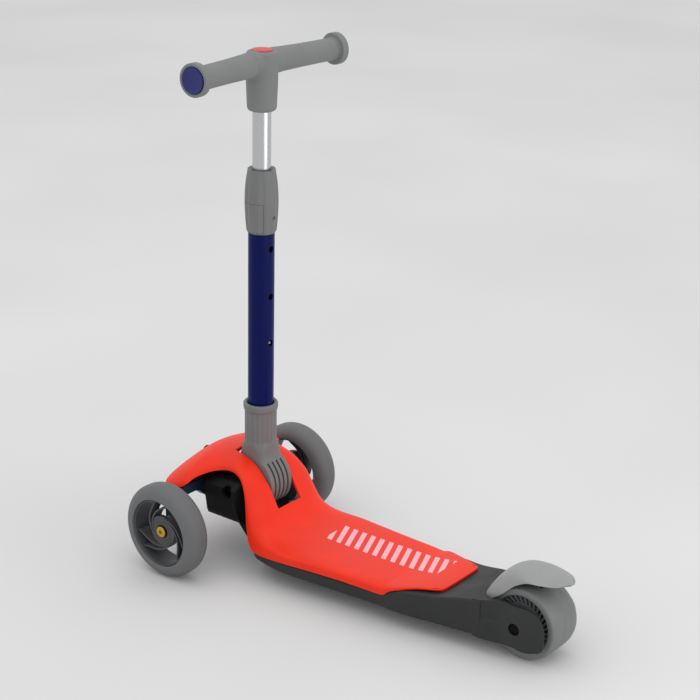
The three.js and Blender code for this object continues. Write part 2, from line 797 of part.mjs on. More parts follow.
// Truck beam: the hub round the kingpin and the crossbar that carries the arms.
function truckBeam() {
  const back = kingpinAheadOfAxle - crossbarThickness / 2;
  const front = kingpinAheadOfAxle + crossbarThickness / 2;
  const bar = frontPlate(outline([
    [-crossbarHalfWidth, crossbarBottom, crossbarFillet],
    [crossbarHalfWidth, crossbarBottom, crossbarFillet],
    [crossbarHalfWidth, crossbarTop, 0],
    [-crossbarHalfWidth, crossbarTop, 0],
  ]), back, front);
  const hub = alongKingpin(rodX(truckHubRadius, -truckHalfHub, truckHalfHub, smallSides));
  const pinRadius = boreFor(kingpinRadius, pinSides);
  const bore = alongKingpin(rodX(pinRadius, -truckHubLength, truckHubLength, pinSides));
  const headRoom = alongKingpin(rodX(kingpinHeadRadius + drumGap, truckHalfHub, truckHubLength));
  return cut(join(solid(bar), solid(hub)), solid(bore), solid(headRoom));
}

// Cranked arm of one side, made for the left: strut, post and the boss that the axle bolt screws into.
function axleArm() {
  const back = kingpinAheadOfAxle - crossbarThickness / 2;
  const front = kingpinAheadOfAxle + crossbarThickness / 2;
  const inner = crossbarHalfWidth + seatGap;
  const postInner = armReach - armPostWidth;
  const strutBottom = armStrutTop - armStrutHeight;
  const strut = frontPlate(outline([
    [inner, crossbarBottom, 0],
    [inner + armPostWidth, strutBottom, armPostWidth],
    [postInner, strutBottom, armPostWidth / 2],
    [postInner, frontWheelRadius, 0],
    [armReach, frontWheelRadius, 0],
    [armReach, armStrutTop, armPostWidth],
    [inner, armStrutTop, 0],
  ]), back, front);
  const foot = sidePlate(outline([
    [-armPostBack, frontWheelRadius, 0],
    [front, frontWheelRadius, 0],
    [front, strutBottom, 0],
    [back, strutBottom, 0],
    [-armPostBack, frontWheelRadius + armBossRadius, armPostBack],
  ]), armPostWidth).translate(0, armReach - armPostWidth / 2, 0);
  const boss = rodY(armBossRadius, postInner, armBossFace).translate(0, 0, frontWheelRadius);
  const collarEnd = trackWidth / 2 - hubInnerFace - seatGap;
  const collar = rodY(armCollarRadius, armBossFace - overrun, collarEnd).translate(0, 0, frontWheelRadius);
  const skirt = sidePlate(outline([
    [0, frontWheelRadius - armBossRadius, 0],
    [front, frontWheelRadius, 0],
    [front, frontWheelRadius + overrun, 0],
    [0, frontWheelRadius + overrun, 0],
  ]), armPostWidth).translate(0, armReach - armPostWidth / 2, 0);
  const bore = rodY(axleBoltRadius + runningGap, 0, trackWidth).translate(0, 0, frontWheelRadius);
  return cut(join(solid(strut), solid(foot), solid(boss), solid(collar), solid(skirt)), solid(bore));
}

// Axle bolt: a round gold head with a hexagon socket, and a nut behind the arm.
function axleBolt() {
  const headFace = trackWidth / 2 + hubOuterFace + seatGap;
  const tail = armReach - armPostWidth - nutHeight - seatGap - overrun;
  const head = turned([
    [0, headFace, 0],
    [axleHeadRadius, headFace, 0],
    [axleHeadRadius, headFace + axleHeadHeight, axleHeadHeight / 3],
    [0, headFace + axleHeadHeight, 0],
  ], smallSides, 2);
  const shank = rodY(axleBoltRadius, tail, headFace + overrun, pinSides);
  const socket = rodY(axleSocketRadius, headFace + axleHeadHeight - axleSocketDepth, trackWidth, 6);
  return cut(join(solid(head), solid(shank)), solid(socket));
}

function nut(from) {
  return hexNut(axleBoltRadius, nutRadius, from - nutHeight, from);
}

addPiece(frame, "truck_beam", truckBeam(), looks.darkMoulding);
for (const [side, sign] of [["left", 1], ["right", -1]]) {
  const arm = addGroup(frame, 0, 0, 0);
  arm.scale.set(1, sign, 1);
  addPiece(arm, `axle_arm_${side}`, axleArm(), looks.blueSteel);
  const axle = addGroup(arm, 0, 0, frontWheelRadius);
  addPiece(axle, `axle_bolt_${side}`, axleBolt(), looks.gold);
  addPiece(axle, `axle_nut_${side}`, nut(armReach - armPostWidth - seatGap), looks.steel);
}

// The rows of the cover's skin as real places.
const coverTable = [
  ...deckRowShares.map(([topX, topZ, edgeX, edgeY, edgeZ, square]) => [
    -coverHumpBehindAxle - topX * (coverTailBehindAxle - coverHumpBehindAxle),
    topZ * deckHeight,
    -coverHumpBehindAxle - edgeX * (coverTailBehindAxle - coverHumpBehindAxle),
    edgeY * deckHalfWidth,
    edgeZ * deckHeight,
    square,
  ]),
  ...humpRowShares.map(([topX, topZ, edgeX, edgeY, edgeZ, square]) => [
    -topX * coverHumpBehindAxle,
    topZ * coverCrownHeight,
    -edgeX * coverHumpBehindAxle,
    edgeY * coverWingHalfSpan,
    edgeZ * coverCrownHeight,
    square,
  ]),
];

function coverGrid(inset) {
  return skinGrid(coverTable, coverRowCount, coverColumnCount, inset);
}

// Deck cover: the skin, the slot that the neck folds through, the lip turned down at the slot's rear end and
// the hole of the fold button.
function deckCover() {
  const skin = closedBetween(coverGrid(0), coverGrid(coverWall));
  const slot = planPlate(outline([
    [-slotRearBehindAxle, -slotHalfWidth, 0],
    [-slotFrontBehindAxle, -slotHalfWidth, 0],
    [-slotFrontBehindAxle, slotHalfWidth, 0],
    [-slotRearBehindAxle, slotHalfWidth, 0],
  ]), slotFloorHeight, coverCrownHeight + overrun);
  const lipEnd = -slotRearBehindAxle + slotLipRun;
  const lip = sidePlate([
    new THREE.Vector2(-slotRearBehindAxle - slotLipWall, slotRearHeight - slotLipWall),
    new THREE.Vector2(lipEnd - slotLipWall, slotRearHeight - slotLipDrop),
    new THREE.Vector2(lipEnd, slotRearHeight - slotLipDrop),
    new THREE.Vector2(-slotRearBehindAxle + slotLipWall / 2, slotRearHeight),
  ], 2 * slotHalfWidth);
  const hole = rodX(foldButtonRadius + seatGap, 0, coverWingHalfSpan).translate(0, 0, foldButtonHeight);
  return cut(join(cut(solid(skin), solid(slot)), solid(lip)), solid(hole));
}

// An open curve through a table's rows, read at a share of the number of its rows.
function curveOf(table) {
  return new THREE.CatmullRomCurve3(table.map(([x, y, z = 0]) => new THREE.Vector3(x, y, z)));
}

// One loop of a chassis station: level top, upright sides and filleted lower corners.
function stationLoop(x, halfWidth, top, bottom, fillet) {
  const corners = [
    [halfWidth, bottom, fillet],
    [halfWidth, top, fillet / 2],
    [-halfWidth, top, fillet / 2],
    [-halfWidth, bottom, fillet],
  ];
  return outline(corners, 1).map((point) => new THREE.Vector3(x, point.x, point.y));
}

// The black band under the cover, or the hollow inside it where an inset is given.
function chassisBand(inset) {
  const run = chassisTailStart - chassisFrontBehindAxle;
  const curve = curveOf(chassisSideShares);
  const loops = [];
  for (let row = chassisRowCount; row >= 0; row--) {
    const place = curve.getPoint(row / chassisRowCount);
    const x = -chassisFrontBehindAxle - Math.max(place.x * run, inset);
    const bottom = chassisBottomHeight - (inset > 0 ? overrun : 0);
    const top = chassisLedgeHeight - seatGap - inset;
    loops.push(stationLoop(x, place.y * deckHalfWidth - inset, top, bottom, inset > 0 ? 0 : chassisFillet));
  }
  return loft(loops);
}

// The core that fills the underside of the cover from the tail to the foot of the hump. It is drawn in a
// little further than the cover's inside, because its own skin has fewer rows.
function chassisCore(inset) {
  const deckRows = coverTable.filter(([x]) => x > -chassisCoreEnd && x < -coverHumpBehindAxle);
  const drawnIn = coverWall + 2 * seatGap + inset;
  const floor = chassisLedgeHeight - chassisWall - overrun;
  return spaceUnder(skinGrid(deckRows, chassisCoreRowCount, chassisCoreColumnCount, drawnIn), floor);
}

// The tail: it steps out beyond the cover and rises to the brake.
function chassisTail(inset) {
  const end = inset > 0 ? chassisTailEnd - chassisTailHollowEnd : chassisTailEnd;
  const curve = curveOf(tailSideShares);
  const loops = [];
  for (let row = chassisRowCount; row >= 0; row--) {
    const place = curve.getPoint(row / chassisRowCount);
    const along = chassisTailStart + place.x * (chassisTailEnd - chassisTailStart);
    const x = -Math.min(along, end + (row * inset) / chassisRowCount);
    const bottom = chassisBottomHeight - (inset > 0 ? overrun : 0);
    const top = place.z * chassisTailHeight - inset;
    loops.push(stationLoop(x, place.y * deckHalfWidth - inset, top, bottom, inset > 0 ? 0 : chassisFillet));
  }
  return loft(loops);
}

// Chassis: band, core and tail in one, hollow and ribbed from below, with the seat of the cover's tail, the
// well and cheeks of the rear wheel, the pocket of the brake's lug and the bores of both pins.
function chassis() {
  const wellRadius = rearWheelRadius + wheelWellGap;
  const wellHalf = rearTyreWidth / 2 + wheelSideGap;
  const well = rodY(wellRadius, -wellHalf, wellHalf, largeSides).translate(-wheelbase, 0, rearWheelRadius);
  const cheekInner = cheekHalfWidth - cheekWall;
  const cheek = sidePlate(outline([
    [-chassisTailEnd + cheekWall, chassisBottomHeight, 0],
    [-chassisTailEnd + cheekWall, chassisTailHeight, 0],
    ...cheekRearShares.map(([along, up, round]) => [
      -wheelbase - along * cheekRadius,
      rearWheelRadius + up * cheekRadius,
      round * cheekRadius,
    ]),
  ], 2), cheekEdgeWall).translate(0, cheekInner + cheekEdgeWall / 2, 0);
  const cheekRound = turned([
    [0, rearHubHalfWidth + seatGap, 0],
    [cheekBossRadius, rearHubHalfWidth + seatGap, 0],
    [cheekBossRadius, cheekInner, 0],
    [cheekRoundRadius, cheekInner + cheekEdgeWall - seatGap, 0],
    [cheekFlatRadius, cheekHalfWidth, 0],
    [0, cheekHalfWidth, 0],
  ], largeSides).translate(-wheelbase, 0, rearWheelRadius);
  const leftCheek = join(solid(cheek), solid(cheekRound));
  const cheeks = [leftCheek, leftCheek.mirror([0, 1, 0])];
  const grown = closedBetween(coverGrid(-seatGap), coverGrid(coverWall + seatGap));
  const ribs = [];
  for (let place = chassisFrontBehindAxle + ribPitch; place < chassisTailEnd; place += ribPitch) {
    ribs.push(block(
      [-place - ribWall / 2, -deckHalfWidth, chassisBottomHeight + ribRise],
      [-place + ribWall / 2, deckHalfWidth, chassisTailHeight],
    ));
  }
  for (const side of [-ribLineOffset, ribLineOffset]) {
    ribs.push(block(
      [-chassisTailEnd, side - ribWall / 2, chassisBottomHeight + ribRise],
      [-chassisFrontBehindAxle, side + ribWall / 2, chassisTailHeight],
    ));
  }
  const outer = join(solid(chassisBand(0)), solid(chassisCore(0)), solid(chassisTail(0)));
  const inner = join(
    solid(chassisBand(chassisWall)),
    solid(chassisCore(chassisWall)),
    solid(chassisTail(chassisWall)),
  );
  const hollow = cut(inner, ...ribs.map(solid));
  const pocketHalf = brakeLugHalfWidth + brakeLugGap;
  const pocketRadius = brakeLugRadius + brakeLugGap;
  const pocket = block(
    [-brakePinBehindAxle - pocketRadius, -brakeSpringOuter - brakeLugGap, brakePinHeight - pocketRadius],
    [-brakePinBehindAxle + pocketRadius, brakeSpringOuter + brakeLugGap, chassisTailHeight + overrun],
  );
  const rearMouth = block(
    [-brakePinBehindAxle - 2 * pocketRadius, -pocketHalf, brakePinHeight - pocketRadius],
    [-brakePinBehindAxle, pocketHalf, chassisTailHeight + cheekWall],
  );
  const brakeBoreEnd = brakePinHalfLength + seatGap;
  const brakeBore = rodY(brakePinRadius + runningGap, -brakeBoreEnd, brakeBoreEnd, pinSides)
    .translate(-brakePinBehindAxle, 0, brakePinHeight);
  const axleBoreEnd = cheekHalfWidth + overrun;
  const axleBore = rodY(rearBoltRadius + runningGap, -axleBoreEnd, axleBoreEnd, pinSides)
    .translate(-wheelbase, 0, rearWheelRadius);
  const recessFloor = cheekHalfWidth - rearBoltRecessDepth;
  const recesses = [[recessFloor, axleBoreEnd], [-axleBoreEnd, -recessFloor]].map((ends) =>
    solid(rodY(rearBoltRecess + seatGap, ...ends).translate(-wheelbase, 0, rearWheelRadius)),
  );
  const shell = cut(outer, hollow, solid(grown), solid(well));
  const tools = [pocket, rearMouth, brakeBore, axleBore].map(solid);
  return cut(join(shell, ...cheeks), ...tools, ...recesses);
}

// Head block: two side walls round the drum of the column, joined in front and below, with the boss of the
// kingpin, the saddle of the fold plunger and a foot that runs back to the chassis.
function headBlock() {
  const body = frontPlate(outline([
    [-headBottomHalfWidth, headBottomHeight, headFillet],
    [headBottomHalfWidth, headBottomHeight, headFillet],
    [headTopHalfWidth, headTopHeight, headFillet],
    [-headTopHalfWidth, headTopHeight, headFillet],
  ]), -headRearBehindAxle, headFrontAheadOfAxle);
  const plan = planPlate(outline([
    [-headRearBehindAxle, -headTopHalfWidth, 0],
    [headFrontAheadOfAxle - headCornerRun, -headTopHalfWidth, 0],
    [headFrontAheadOfAxle, -headFrontHalfWidth, 0],
    [headFrontAheadOfAxle, headFrontHalfWidth, 0],
    [headFrontAheadOfAxle - headCornerRun, headTopHalfWidth, 0],
    [-headRearBehindAxle, headTopHalfWidth, 0],
  ]), 0, coverCrownHeight);
  const footEnd = -chassisFrontBehindAxle + seatGap;
  const foot = sidePlate(outline([
    [footEnd, headFootHeight, 0],
    [-headRearBehindAxle, headFootHeight, 0],
    [-headRearBehindAxle / 2, headBottomHeight, 0],
    [-headRearBehindAxle / 2, headFootTop, 0],
    [-headRearBehindAxle, headFootTop, 0],
    [footEnd, chassisLedgeHeight, 0],
  ]), 2 * headFootHalfWidth);
  const saddle = block(
    [-buttonBossRear, -buttonBossHalfWidth, headTopHeight - headFillet],
    [headFrontAheadOfAxle, buttonBossHalfWidth, buttonBossTop],
  );
  const bossFace = bushingRear - seatGap;
  const boss = alongKingpin(rodX(kingpinBossRadius, bossFace - kingpinBossLength, bossFace));
  const drumRoom = rodY(drumRadius + drumGap, -drumWidth / 2 - drumGap, drumWidth / 2 + drumGap, largeSides)
    .translate(-foldPivotBehindAxle, 0, foldPivotHeight);
  const neckHalf = neckRadius + drumGap;
  const neckRoom = sidePlate(outline([
    [-headRearBehindAxle - overrun, foldPivotHeight - neckHalf, 0],
    [-foldPivotBehindAxle, foldPivotHeight - neckHalf, 0],
    [-foldPivotBehindAxle + neckHalf + drumGap, foldPivotHeight, 0],
    [-foldPivotBehindAxle + neckHalf + drumGap, coverCrownHeight, 0],
    [-headRearBehindAxle - overrun, coverCrownHeight, 0],
  ]), 2 * neckHalf);
  const roomEnd = truckHubLength + bushingLength;
  const truckRoom = alongKingpin(rodX(truckHubRadius + drumGap, bossFace, roomEnd, largeSides));
  const pinRadius = boreFor(kingpinRadius, pinSides);
  const pinBore = alongKingpin(rodX(pinRadius, -coverCrownHeight, coverCrownHeight, pinSides));
  const nutRoom = alongKingpin(rodX(kingpinHeadRadius, -coverCrownHeight, kingpinNutPlace));
  const foldBore = rodY(boreFor(foldPinRadius, pinSides), -coverWingHalfSpan, coverWingHalfSpan, pinSides);
  const pinSeat = foldPinHalfLength - foldPinHeadHeight - seatGap;
  const counterbores = [
    rodY(foldPinHeadRadius + seatGap, pinSeat, coverWingHalfSpan),
    rodY(foldPinHeadRadius + seatGap, -coverWingHalfSpan, -pinSeat),
  ];
  const plungerBore = rodX(foldPlungerRadius + runningGap, -foldPivotBehindAxle, coverWingHalfSpan, pinSides)
    .translate(0, 0, foldButtonHeight);
  const bellyTop = headBottomHeight + bellyShankLength + overrun;
  const bellyBores = [1, -1].map((sign) =>
    rodZ(bellyShankRadius + runningGap, headBottomHeight - overrun, bellyTop, pinSides)
      .translate(-bellyBoltBehindAxle, sign * bellyBoltOffset, 0),
  );
  const onPivot = [foldBore, ...counterbores].map((tool) =>
    tool.translate(-foldPivotBehindAxle, 0, foldPivotHeight),
  );
  const tools = [drumRoom, neckRoom, truckRoom, pinBore, nutRoom, plungerBore, ...onPivot, ...bellyBores];
  const trimmed = solid(body).intersect(solid(plan));
  return cut(join(trimmed, solid(foot), solid(saddle), solid(boss)), ...tools.map(solid));
}

// A pin with a round head at its low end, along X in the kingpin frame or along Y elsewhere.
function headedPin(headRadius, headFrom, headTo, radius, end) {
  const head = turned([
    [0, headFrom, 0],
    [headRadius, headFrom, 0],
    [headRadius, headTo, (headTo - headFrom) / 4],
    [0, headTo, 0],
  ], smallSides, 1);
  return join(solid(head), solid(rodY(radius, end, headFrom + overrun / 2, pinSides)));
}

addPiece(frame, "deck_cover", deckCover(), looks.cover);
addPiece(frame, "chassis", chassis(), looks.chassis);
addPiece(frame, "head_block", headBlock(), looks.darkMoulding);

// The kingpin lies along Y of a group turned so that its head is in front.
const kingpinAxis = addGroup(kingpin, 0, 0, 0);
kingpinAxis.rotation.z = -rightAngle;
const headSeat = truckHalfHub + seatGap;
addPiece(kingpinAxis, "kingpin", headedPin(
  kingpinHeadRadius,
  headSeat,
  headSeat + kingpinHeadHeight,
  kingpinRadius,
  kingpinNutPlace - seatGap - kingpinNutHeight,
), looks.steel);
addPiece(kingpinAxis, "kingpin_nut", hexNut(
  kingpinRadius, kingpinNutRadius, kingpinNutPlace - seatGap - kingpinNutHeight, kingpinNutPlace - seatGap,
), looks.steel);
addPiece(kingpinAxis, "lean_bushing", sleeveY(
  kingpinRadius + runningGap, bushingRadius, bushingRear, bushingRear + bushingLength,
), looks.rubber);

const foldAxis = addGroup(frame, -foldPivotBehindAxle, 0, foldPivotHeight);
addPiece(foldAxis, "fold_pin", headedPin(
  foldPinHeadRadius,
  foldPinHalfLength - foldPinHeadHeight,
  foldPinHalfLength,
  foldPinRadius,
  -foldPinHalfLength,
), looks.steel);
addPiece(foldAxis, "fold_pin_nut", hexNut(
  foldPinRadius, foldPinHeadRadius, -foldPinHalfLength, -foldPinHalfLength + foldPinHeadHeight,
), looks.steel);

for (const [side, sign] of [["left", 1], ["right", -1]]) {
  const seat = headBottomHeight - seatGap;
  const head = rodZ(bellyBoltRadius, seat - bellyBoltHeight, seat, 6);
  const shankTop = headBottomHeight + bellyShankLength;
  const shank = rodZ(bellyShankRadius, headBottomHeight - bellyBoltHeight, shankTop, pinSides);
  const bolt = addPiece(frame, `belly_bolt_${side}`, join(solid(head), solid(shank)), looks.gold);
  bolt.position.set(-bellyBoltBehindAxle, sign * bellyBoltOffset, 0);
}

// Fold button: a round cap in the nose and a plunger that runs back to the drum.
function foldButton() {
  const rise = foldButtonHeight - foldPivotHeight;
  const drumFace = Math.sqrt(drumRadius ** 2 - (rise - foldPlungerRadius) ** 2) - foldPivotBehindAxle;
  const cap = rodX(foldButtonRadius, foldButtonFront - foldButtonCap, foldButtonFront);
  const plunger = rodX(foldPlungerRadius, drumFace + foldPlungerGap, foldButtonFront - overrun, pinSides);
  return join(solid(cap), solid(plunger));
}

addPiece(frame, "fold_button", foldButton(), looks.darkMoulding).position.z = foldButtonHeight;

// The column turns about the fold pin. Its group stands on the pin's axis and leans back a little.
const column = addGroup(frame, -foldPivotBehindAxle, 0, foldPivotHeight);
column.rotation.y = -radians(columnLeanDegrees);

// A ring of shallow flutes round a radius, as an outline.
function flutedPoints(radius, flutes, depth, steps) {
  return Array.from({ length: flutes * steps }, (_, i) => {
    const angle = (fullTurn * i) / (flutes * steps);
    const reach = radius - (depth * (1 - Math.cos(flutes * angle))) / 2;
    return new THREE.Vector2(reach * Math.cos(angle), reach * Math.sin(angle));
  });
}

// A flat sector of a ring, between two radii and two angles counted from the front over the top.
function sectorPoints(inner, outer, fromDegrees, toDegrees, steps) {
  const arc = (radius, from, to) =>
    Array.from({ length: steps + 1 }, (_, i) => {
      const angle = radians(from + ((to - from) * i) / steps);
      return new THREE.Vector2(radius * Math.cos(angle), radius * Math.sin(angle));
    });
  return [...arc(outer, fromDegrees, toDegrees), ...arc(inner, toDegrees, fromDegrees)];
}

// Foot: the drum with four slots over its rear, blended by fillets into the fluted neck and its lip ring.
function columnFoot() {
  const drum = rodY(drumRadius, -drumWidth / 2, drumWidth / 2, largeSides);
  const neckFlat = Math.sqrt((drumRadius + neckFillet) ** 2 - (neckRadius + neckFillet) ** 2);
  const filletStart = Math.atan2(neckFlat, neckRadius + neckFillet);
  const side = [];
  for (let step = 0; step <= filletSteps; step++) {
    const angle = halfTurn + filletStart * (1 - step / filletSteps);
    side.push(new THREE.Vector2(
      neckRadius + neckFillet + neckFillet * Math.cos(angle),
      neckFlat + neckFillet * Math.sin(angle),
    ));
  }
  const otherSide = side.map((point) => new THREE.Vector2(-point.x, point.y)).reverse();
  const shoulders = sidePlate([...side, ...otherSide], drumWidth);
  const neckRing = flutedPoints(neckRadius, neckFluteCount, neckFluteDepth, 2);
  const neck = planPlate(neckRing, neckFlat, footTop - lipHeight);
  const throat = rodZ(neckRadius, 0, neckFlat, largeSides);
  const lip = turnedZ([
    [0, footTop - lipHeight, 0],
    [lipRadius, footTop - lipHeight, lipRound],
    [lipRadius, footTop, lipRound],
    [0, footTop, 0],
  ], largeSides, 2);
  const rear = THREE.MathUtils.radToDeg(halfTurn);
  const slot = sidePlate(sectorPoints(
    drumRadius - drumSlotDepth,
    drumRadius + overrun,
    rear - drumSlotTopDegrees,
    rear - drumSlotBottomDegrees,
    filletSteps + 1,
  ), drumSlotWidth);
  const slotPlaces = [-drumSlotOuterPlace, -drumSlotInnerPlace, drumSlotInnerPlace, drumSlotOuterPlace];
  const slots = slotPlaces.map((place) => solid(slot.clone().translate(0, place, 0)));
  const socket = rodZ(tubeRadius + seatGap, tubeBottom - seatGap, footTop + overrun, largeSides);
  const pinBore = rodY(boreFor(foldPinRadius, pinSides), -drumWidth, drumWidth, pinSides);
  const body = join(solid(drum), solid(shoulders), solid(throat), solid(neck), solid(lip));
  return cut(body, solid(socket), solid(pinBore), ...slots);
}

function columnTube() {
  const tube = turnedZ([
    [tubeRadius - tubeWall, tubeBottom, 0],
    [tubeRadius, tubeBottom, 0],
    [tubeRadius, tubeTop, 0],
    [tubeRadius - tubeWall, tubeTop, 0],
  ], largeSides);
  const hole = rodX(heightHoleRadius, -tubeRadius - overrun, 0, pinSides);
  const holes = Array.from({ length: heightHoleCount }, (_, i) =>
    solid(hole.clone().translate(0, 0, heightHoleFirst + i * heightHolePitch)),
  );
  return cut(solid(tube), ...holes);
}

// Outer form of the clamp sleeve: a fluted barrel that swells and tapers.
function sleeveForm() {
  const curve = new THREE.CatmullRomCurve3([
    new THREE.Vector3(sleeveBottomRadius, 0, sleeveBottom),
    new THREE.Vector3(sleeveBellyRadius, 0, sleeveBellyHeight),
    new THREE.Vector3(sleeveTopRadius, 0, sleeveTop),
  ]);
  const loops = Array.from({ length: sleeveRingCount + 1 }, (_, i) => {
    const place = curve.getPoint(i / sleeveRingCount);
    const ring = flutedPoints(place.x, sleeveFluteCount, sleeveFluteDepth, filletSteps);
    return ring.map((p) => new THREE.Vector3(p.x, p.y, place.z));
  });
  return loft(loops);
}

// The wedge of the sleeve that its cover panel takes, drawn in by a gap on every side.
function panelWedge(gap) {
  const inner = sleeveBottomRadius - coverPanelDepth + gap;
  const turn = THREE.MathUtils.radToDeg(gap / inner);
  const points = sectorPoints(
    inner,
    sleeveBellyRadius + overrun,
    panelFromDegrees + turn,
    panelToDegrees - turn,
    smallSides / 2,
  );
  return planPlate(points, sleeveBottom - overrun, coverPanelTop - gap);
}

function clampSleeve() {
  const tubeSeat = rodZ(tubeRadius + seatGap, sleeveBottom - overrun, tubeTop + seatGap, largeSides);
  const stemRoom = rodZ(stemRadius + runningGap, tubeTop, sleeveTop + overrun, largeSides);
  const screwRoom = rodX(clampScrewRadius + runningGap, -sleeveBellyRadius - overrun, -tubeRadius, pinSides)
    .translate(0, 0, clampScrewHeight);
  return cut(solid(sleeveForm()), solid(tubeSeat), solid(stemRoom), solid(screwRoom), solid(panelWedge(0)));
}

function clampScrew() {
  const body = rodX(clampScrewRadius, -sleeveBottomRadius, -tubeRadius - seatGap, pinSides);
  const face = -sleeveBottomRadius;
  const socket = rodX(clampScrewRadius / 2, face - overrun, face + tubeWall / 2, 4);
  return cut(solid(body), solid(socket));
}

addPiece(column, "column_foot", columnFoot(), looks.greyMoulding);
addPiece(column, "column_tube", columnTube(), looks.blueTube);
addPiece(column, "clamp_sleeve", clampSleeve(), looks.greyMoulding);
const clampPanel = solid(sleeveForm()).intersect(solid(panelWedge(seatGap)));
addPiece(column, "clamp_panel", clampPanel, looks.greyMoulding);
addPiece(column, "clamp_screw", clampScrew(), looks.steel).position.z = clampScrewHeight;
addPiece(column, "column_bush", turnedZ([
  [stemRadius + runningGap, tubeTop - bushLength, 0],
  [tubeRadius - tubeWall - runningGap, tubeTop - bushLength, 0],
  [tubeRadius - tubeWall - runningGap, tubeTop, 0],
  [stemRadius + runningGap, tubeTop, 0],
], largeSides), looks.darkMoulding);

// The stem slides in the column, with the bar on top of it.
const stem = addGroup(column, 0, 0, 0);

function stemTube() {
  const tube = turnedZ([
    [stemRadius - stemWall, stemBottom, 0],
    [stemRadius, stemBottom, 0],
    [stemRadius, stemTop, 0],
    [stemRadius - stemWall, stemTop, 0],
  ], largeSides);
  const hole = rodX(snapButtonRadius + runningGap, -stemRadius - overrun, 0, pinSides)
    .translate(0, 0, heightHoleFirst);
  return cut(solid(tube), solid(hole));
}

// One half of a bar along its own line, from the middle of the boss to a reach on the side of the sign.
function halfBar(radius, from, to, sides, sign) {
  const places = sign > 0 ? [from, to] : [-to, -from];
  return rodY(radius, ...places, sides).rotateZ(sign * radians(barSweepDegrees)).translate(0, 0, barHeight);
}

function bothHalves(radius, from, to, sides) {
  return [1, -1].map((sign) => solid(halfBar(radius, from, to, sides, sign)));
}

// T boss: an upright barrel on the stem with a saddle on each side for the bar.
function teeBoss() {
  const barrel = turnedZ([
    [0, bossBottom, 0],
    [bossRadius, bossBottom, bossMouthRound],
    [bossRadius, bossTop, bossRound],
    [0, bossTop, 0],
  ], largeSides, 2);
  const saddles = bothHalves(bossSaddleRadius, 0, bossSaddleReach, largeSides);
  const bores = bothHalves(barRadius + seatGap, -overrun, bossSaddleReach + overrun, smallSides);
  const stemBore = rodZ(stemRadius + seatGap, bossBottom - overrun, stemTop + seatGap, largeSides);
  const capSeatTop = barHeight + bossSaddleRadius + overrun;
  const capSeat = rodZ(bossCapRadius + seatGap, bossTop - bossCapDepth - seatGap, capSeatTop, largeSides);
  return cut(join(solid(barrel), ...saddles), ...bores, solid(stemBore), solid(capSeat));
}

function crossBar() {
  const reach = gripEnd - barEndGap;
  const outer = bothHalves(barRadius, 0, reach, smallSides);
  const inner = bothHalves(barRadius - barWall, -overrun, reach + overrun, smallSides);
  return cut(join(...outer), ...inner);
}

// Grip of the left side, along Y: it slips over the bar and ends in a flange with the seat of its cap.
function grip() {
  const root = bossSaddleReach + seatGap;
  const flangeStart = gripEnd - flangeWidth;
  return turned([
    [barRadius + runningGap, root, 0],
    [gripRootRadius, root, flangeRound / 2],
    [gripRadius, root + (flangeStart - root) / 2, 0],
    [gripRadius, flangeStart, flangeRound],
    [flangeRadius, flangeStart, flangeRound],
    [flangeRadius, gripEnd, flangeRound],
    [endCapRadius + seatGap, gripEnd, 0],
    [endCapRadius + seatGap, gripEnd + endCapProud - endCapHeight - seatGap, 0],
    [barRadius + runningGap, gripEnd + endCapProud - endCapHeight - seatGap, 0],
  ], largeSides, 1);
}

function capDisc(radius, from, to, round, sides) {
  return turned([[0, from, 0], [radius, from, 0], [radius, to, round], [0, to, 0]], sides, 1);
}

addPiece(stem, "stem_tube", stemTube(), looks.silver);
addPiece(stem, "tee_boss", teeBoss(), looks.grip);
addPiece(stem, "cross_bar", crossBar(), looks.silver);
addPiece(stem, "tee_cap", capDisc(
  bossCapRadius, bossTop - bossCapDepth, bossTop + bossCapProud, bossCapProud, largeSides,
).rotateX(rightAngle), looks.red);
for (const [side, sign] of [["left", 1], ["right", -1]]) {
  const half = addGroup(stem, 0, 0, barHeight);
  half.rotation.z = sign > 0 ? radians(barSweepDegrees) : halfTurn - radians(barSweepDegrees);
  addPiece(half, `grip_${side}`, grip(), looks.grip);
  const capBack = gripEnd + endCapProud - endCapHeight;
  const cap = capDisc(endCapRadius, capBack, gripEnd + endCapProud, endCapProud, largeSides);
  addPiece(half, `end_cap_${side}`, cap, looks.blueCap);
}

// Snap button of the height setting and the leaf spring that pushes it out.
const snapFront = -snapButtonRear + snapButtonInset;
addPiece(stem, "snap_button", capDisc(
  snapButtonRadius, -snapFront, snapButtonRear, snapButtonRadius / 2, pinSides,
).rotateZ(rightAngle), looks.steel).position.z = heightHoleFirst;

// The leaf is bent double, with its bend above the button and its legs against the button and the tube.
function snapLeaf() {
  const back = snapFront + seatGap;
  const front = Math.sqrt((stemRadius - stemWall) ** 2 - (snapLeafWidth / 2) ** 2) - seatGap;
  const under = snapLeafHeight - snapLeafWall;
  return sidePlate(outline([
    [back, -snapLeafWidth, 0],
    [back + snapLeafWall, -snapLeafWidth, 0],
    [back + snapLeafWall, under, snapButtonRadius],
    [front - snapLeafWall, under, snapButtonRadius],
    [front - snapLeafWall, -snapLeafWidth, 0],
    [front, -snapLeafWidth, 0],
    [front, snapLeafHeight, snapButtonRadius + snapLeafWall],
    [back, snapLeafHeight, snapButtonRadius + snapLeafWall],
  ]), snapLeafWidth);
}

addPiece(stem, "snap_leaf", snapLeaf(), looks.steel).position.z = heightHoleFirst;

// Rear wheel: a broad round-shouldered tyre on a core with a ring of slots, whose bars are its fins.
const rearWheel = addGroup(frame, -wheelbase, 0, rearWheelRadius);

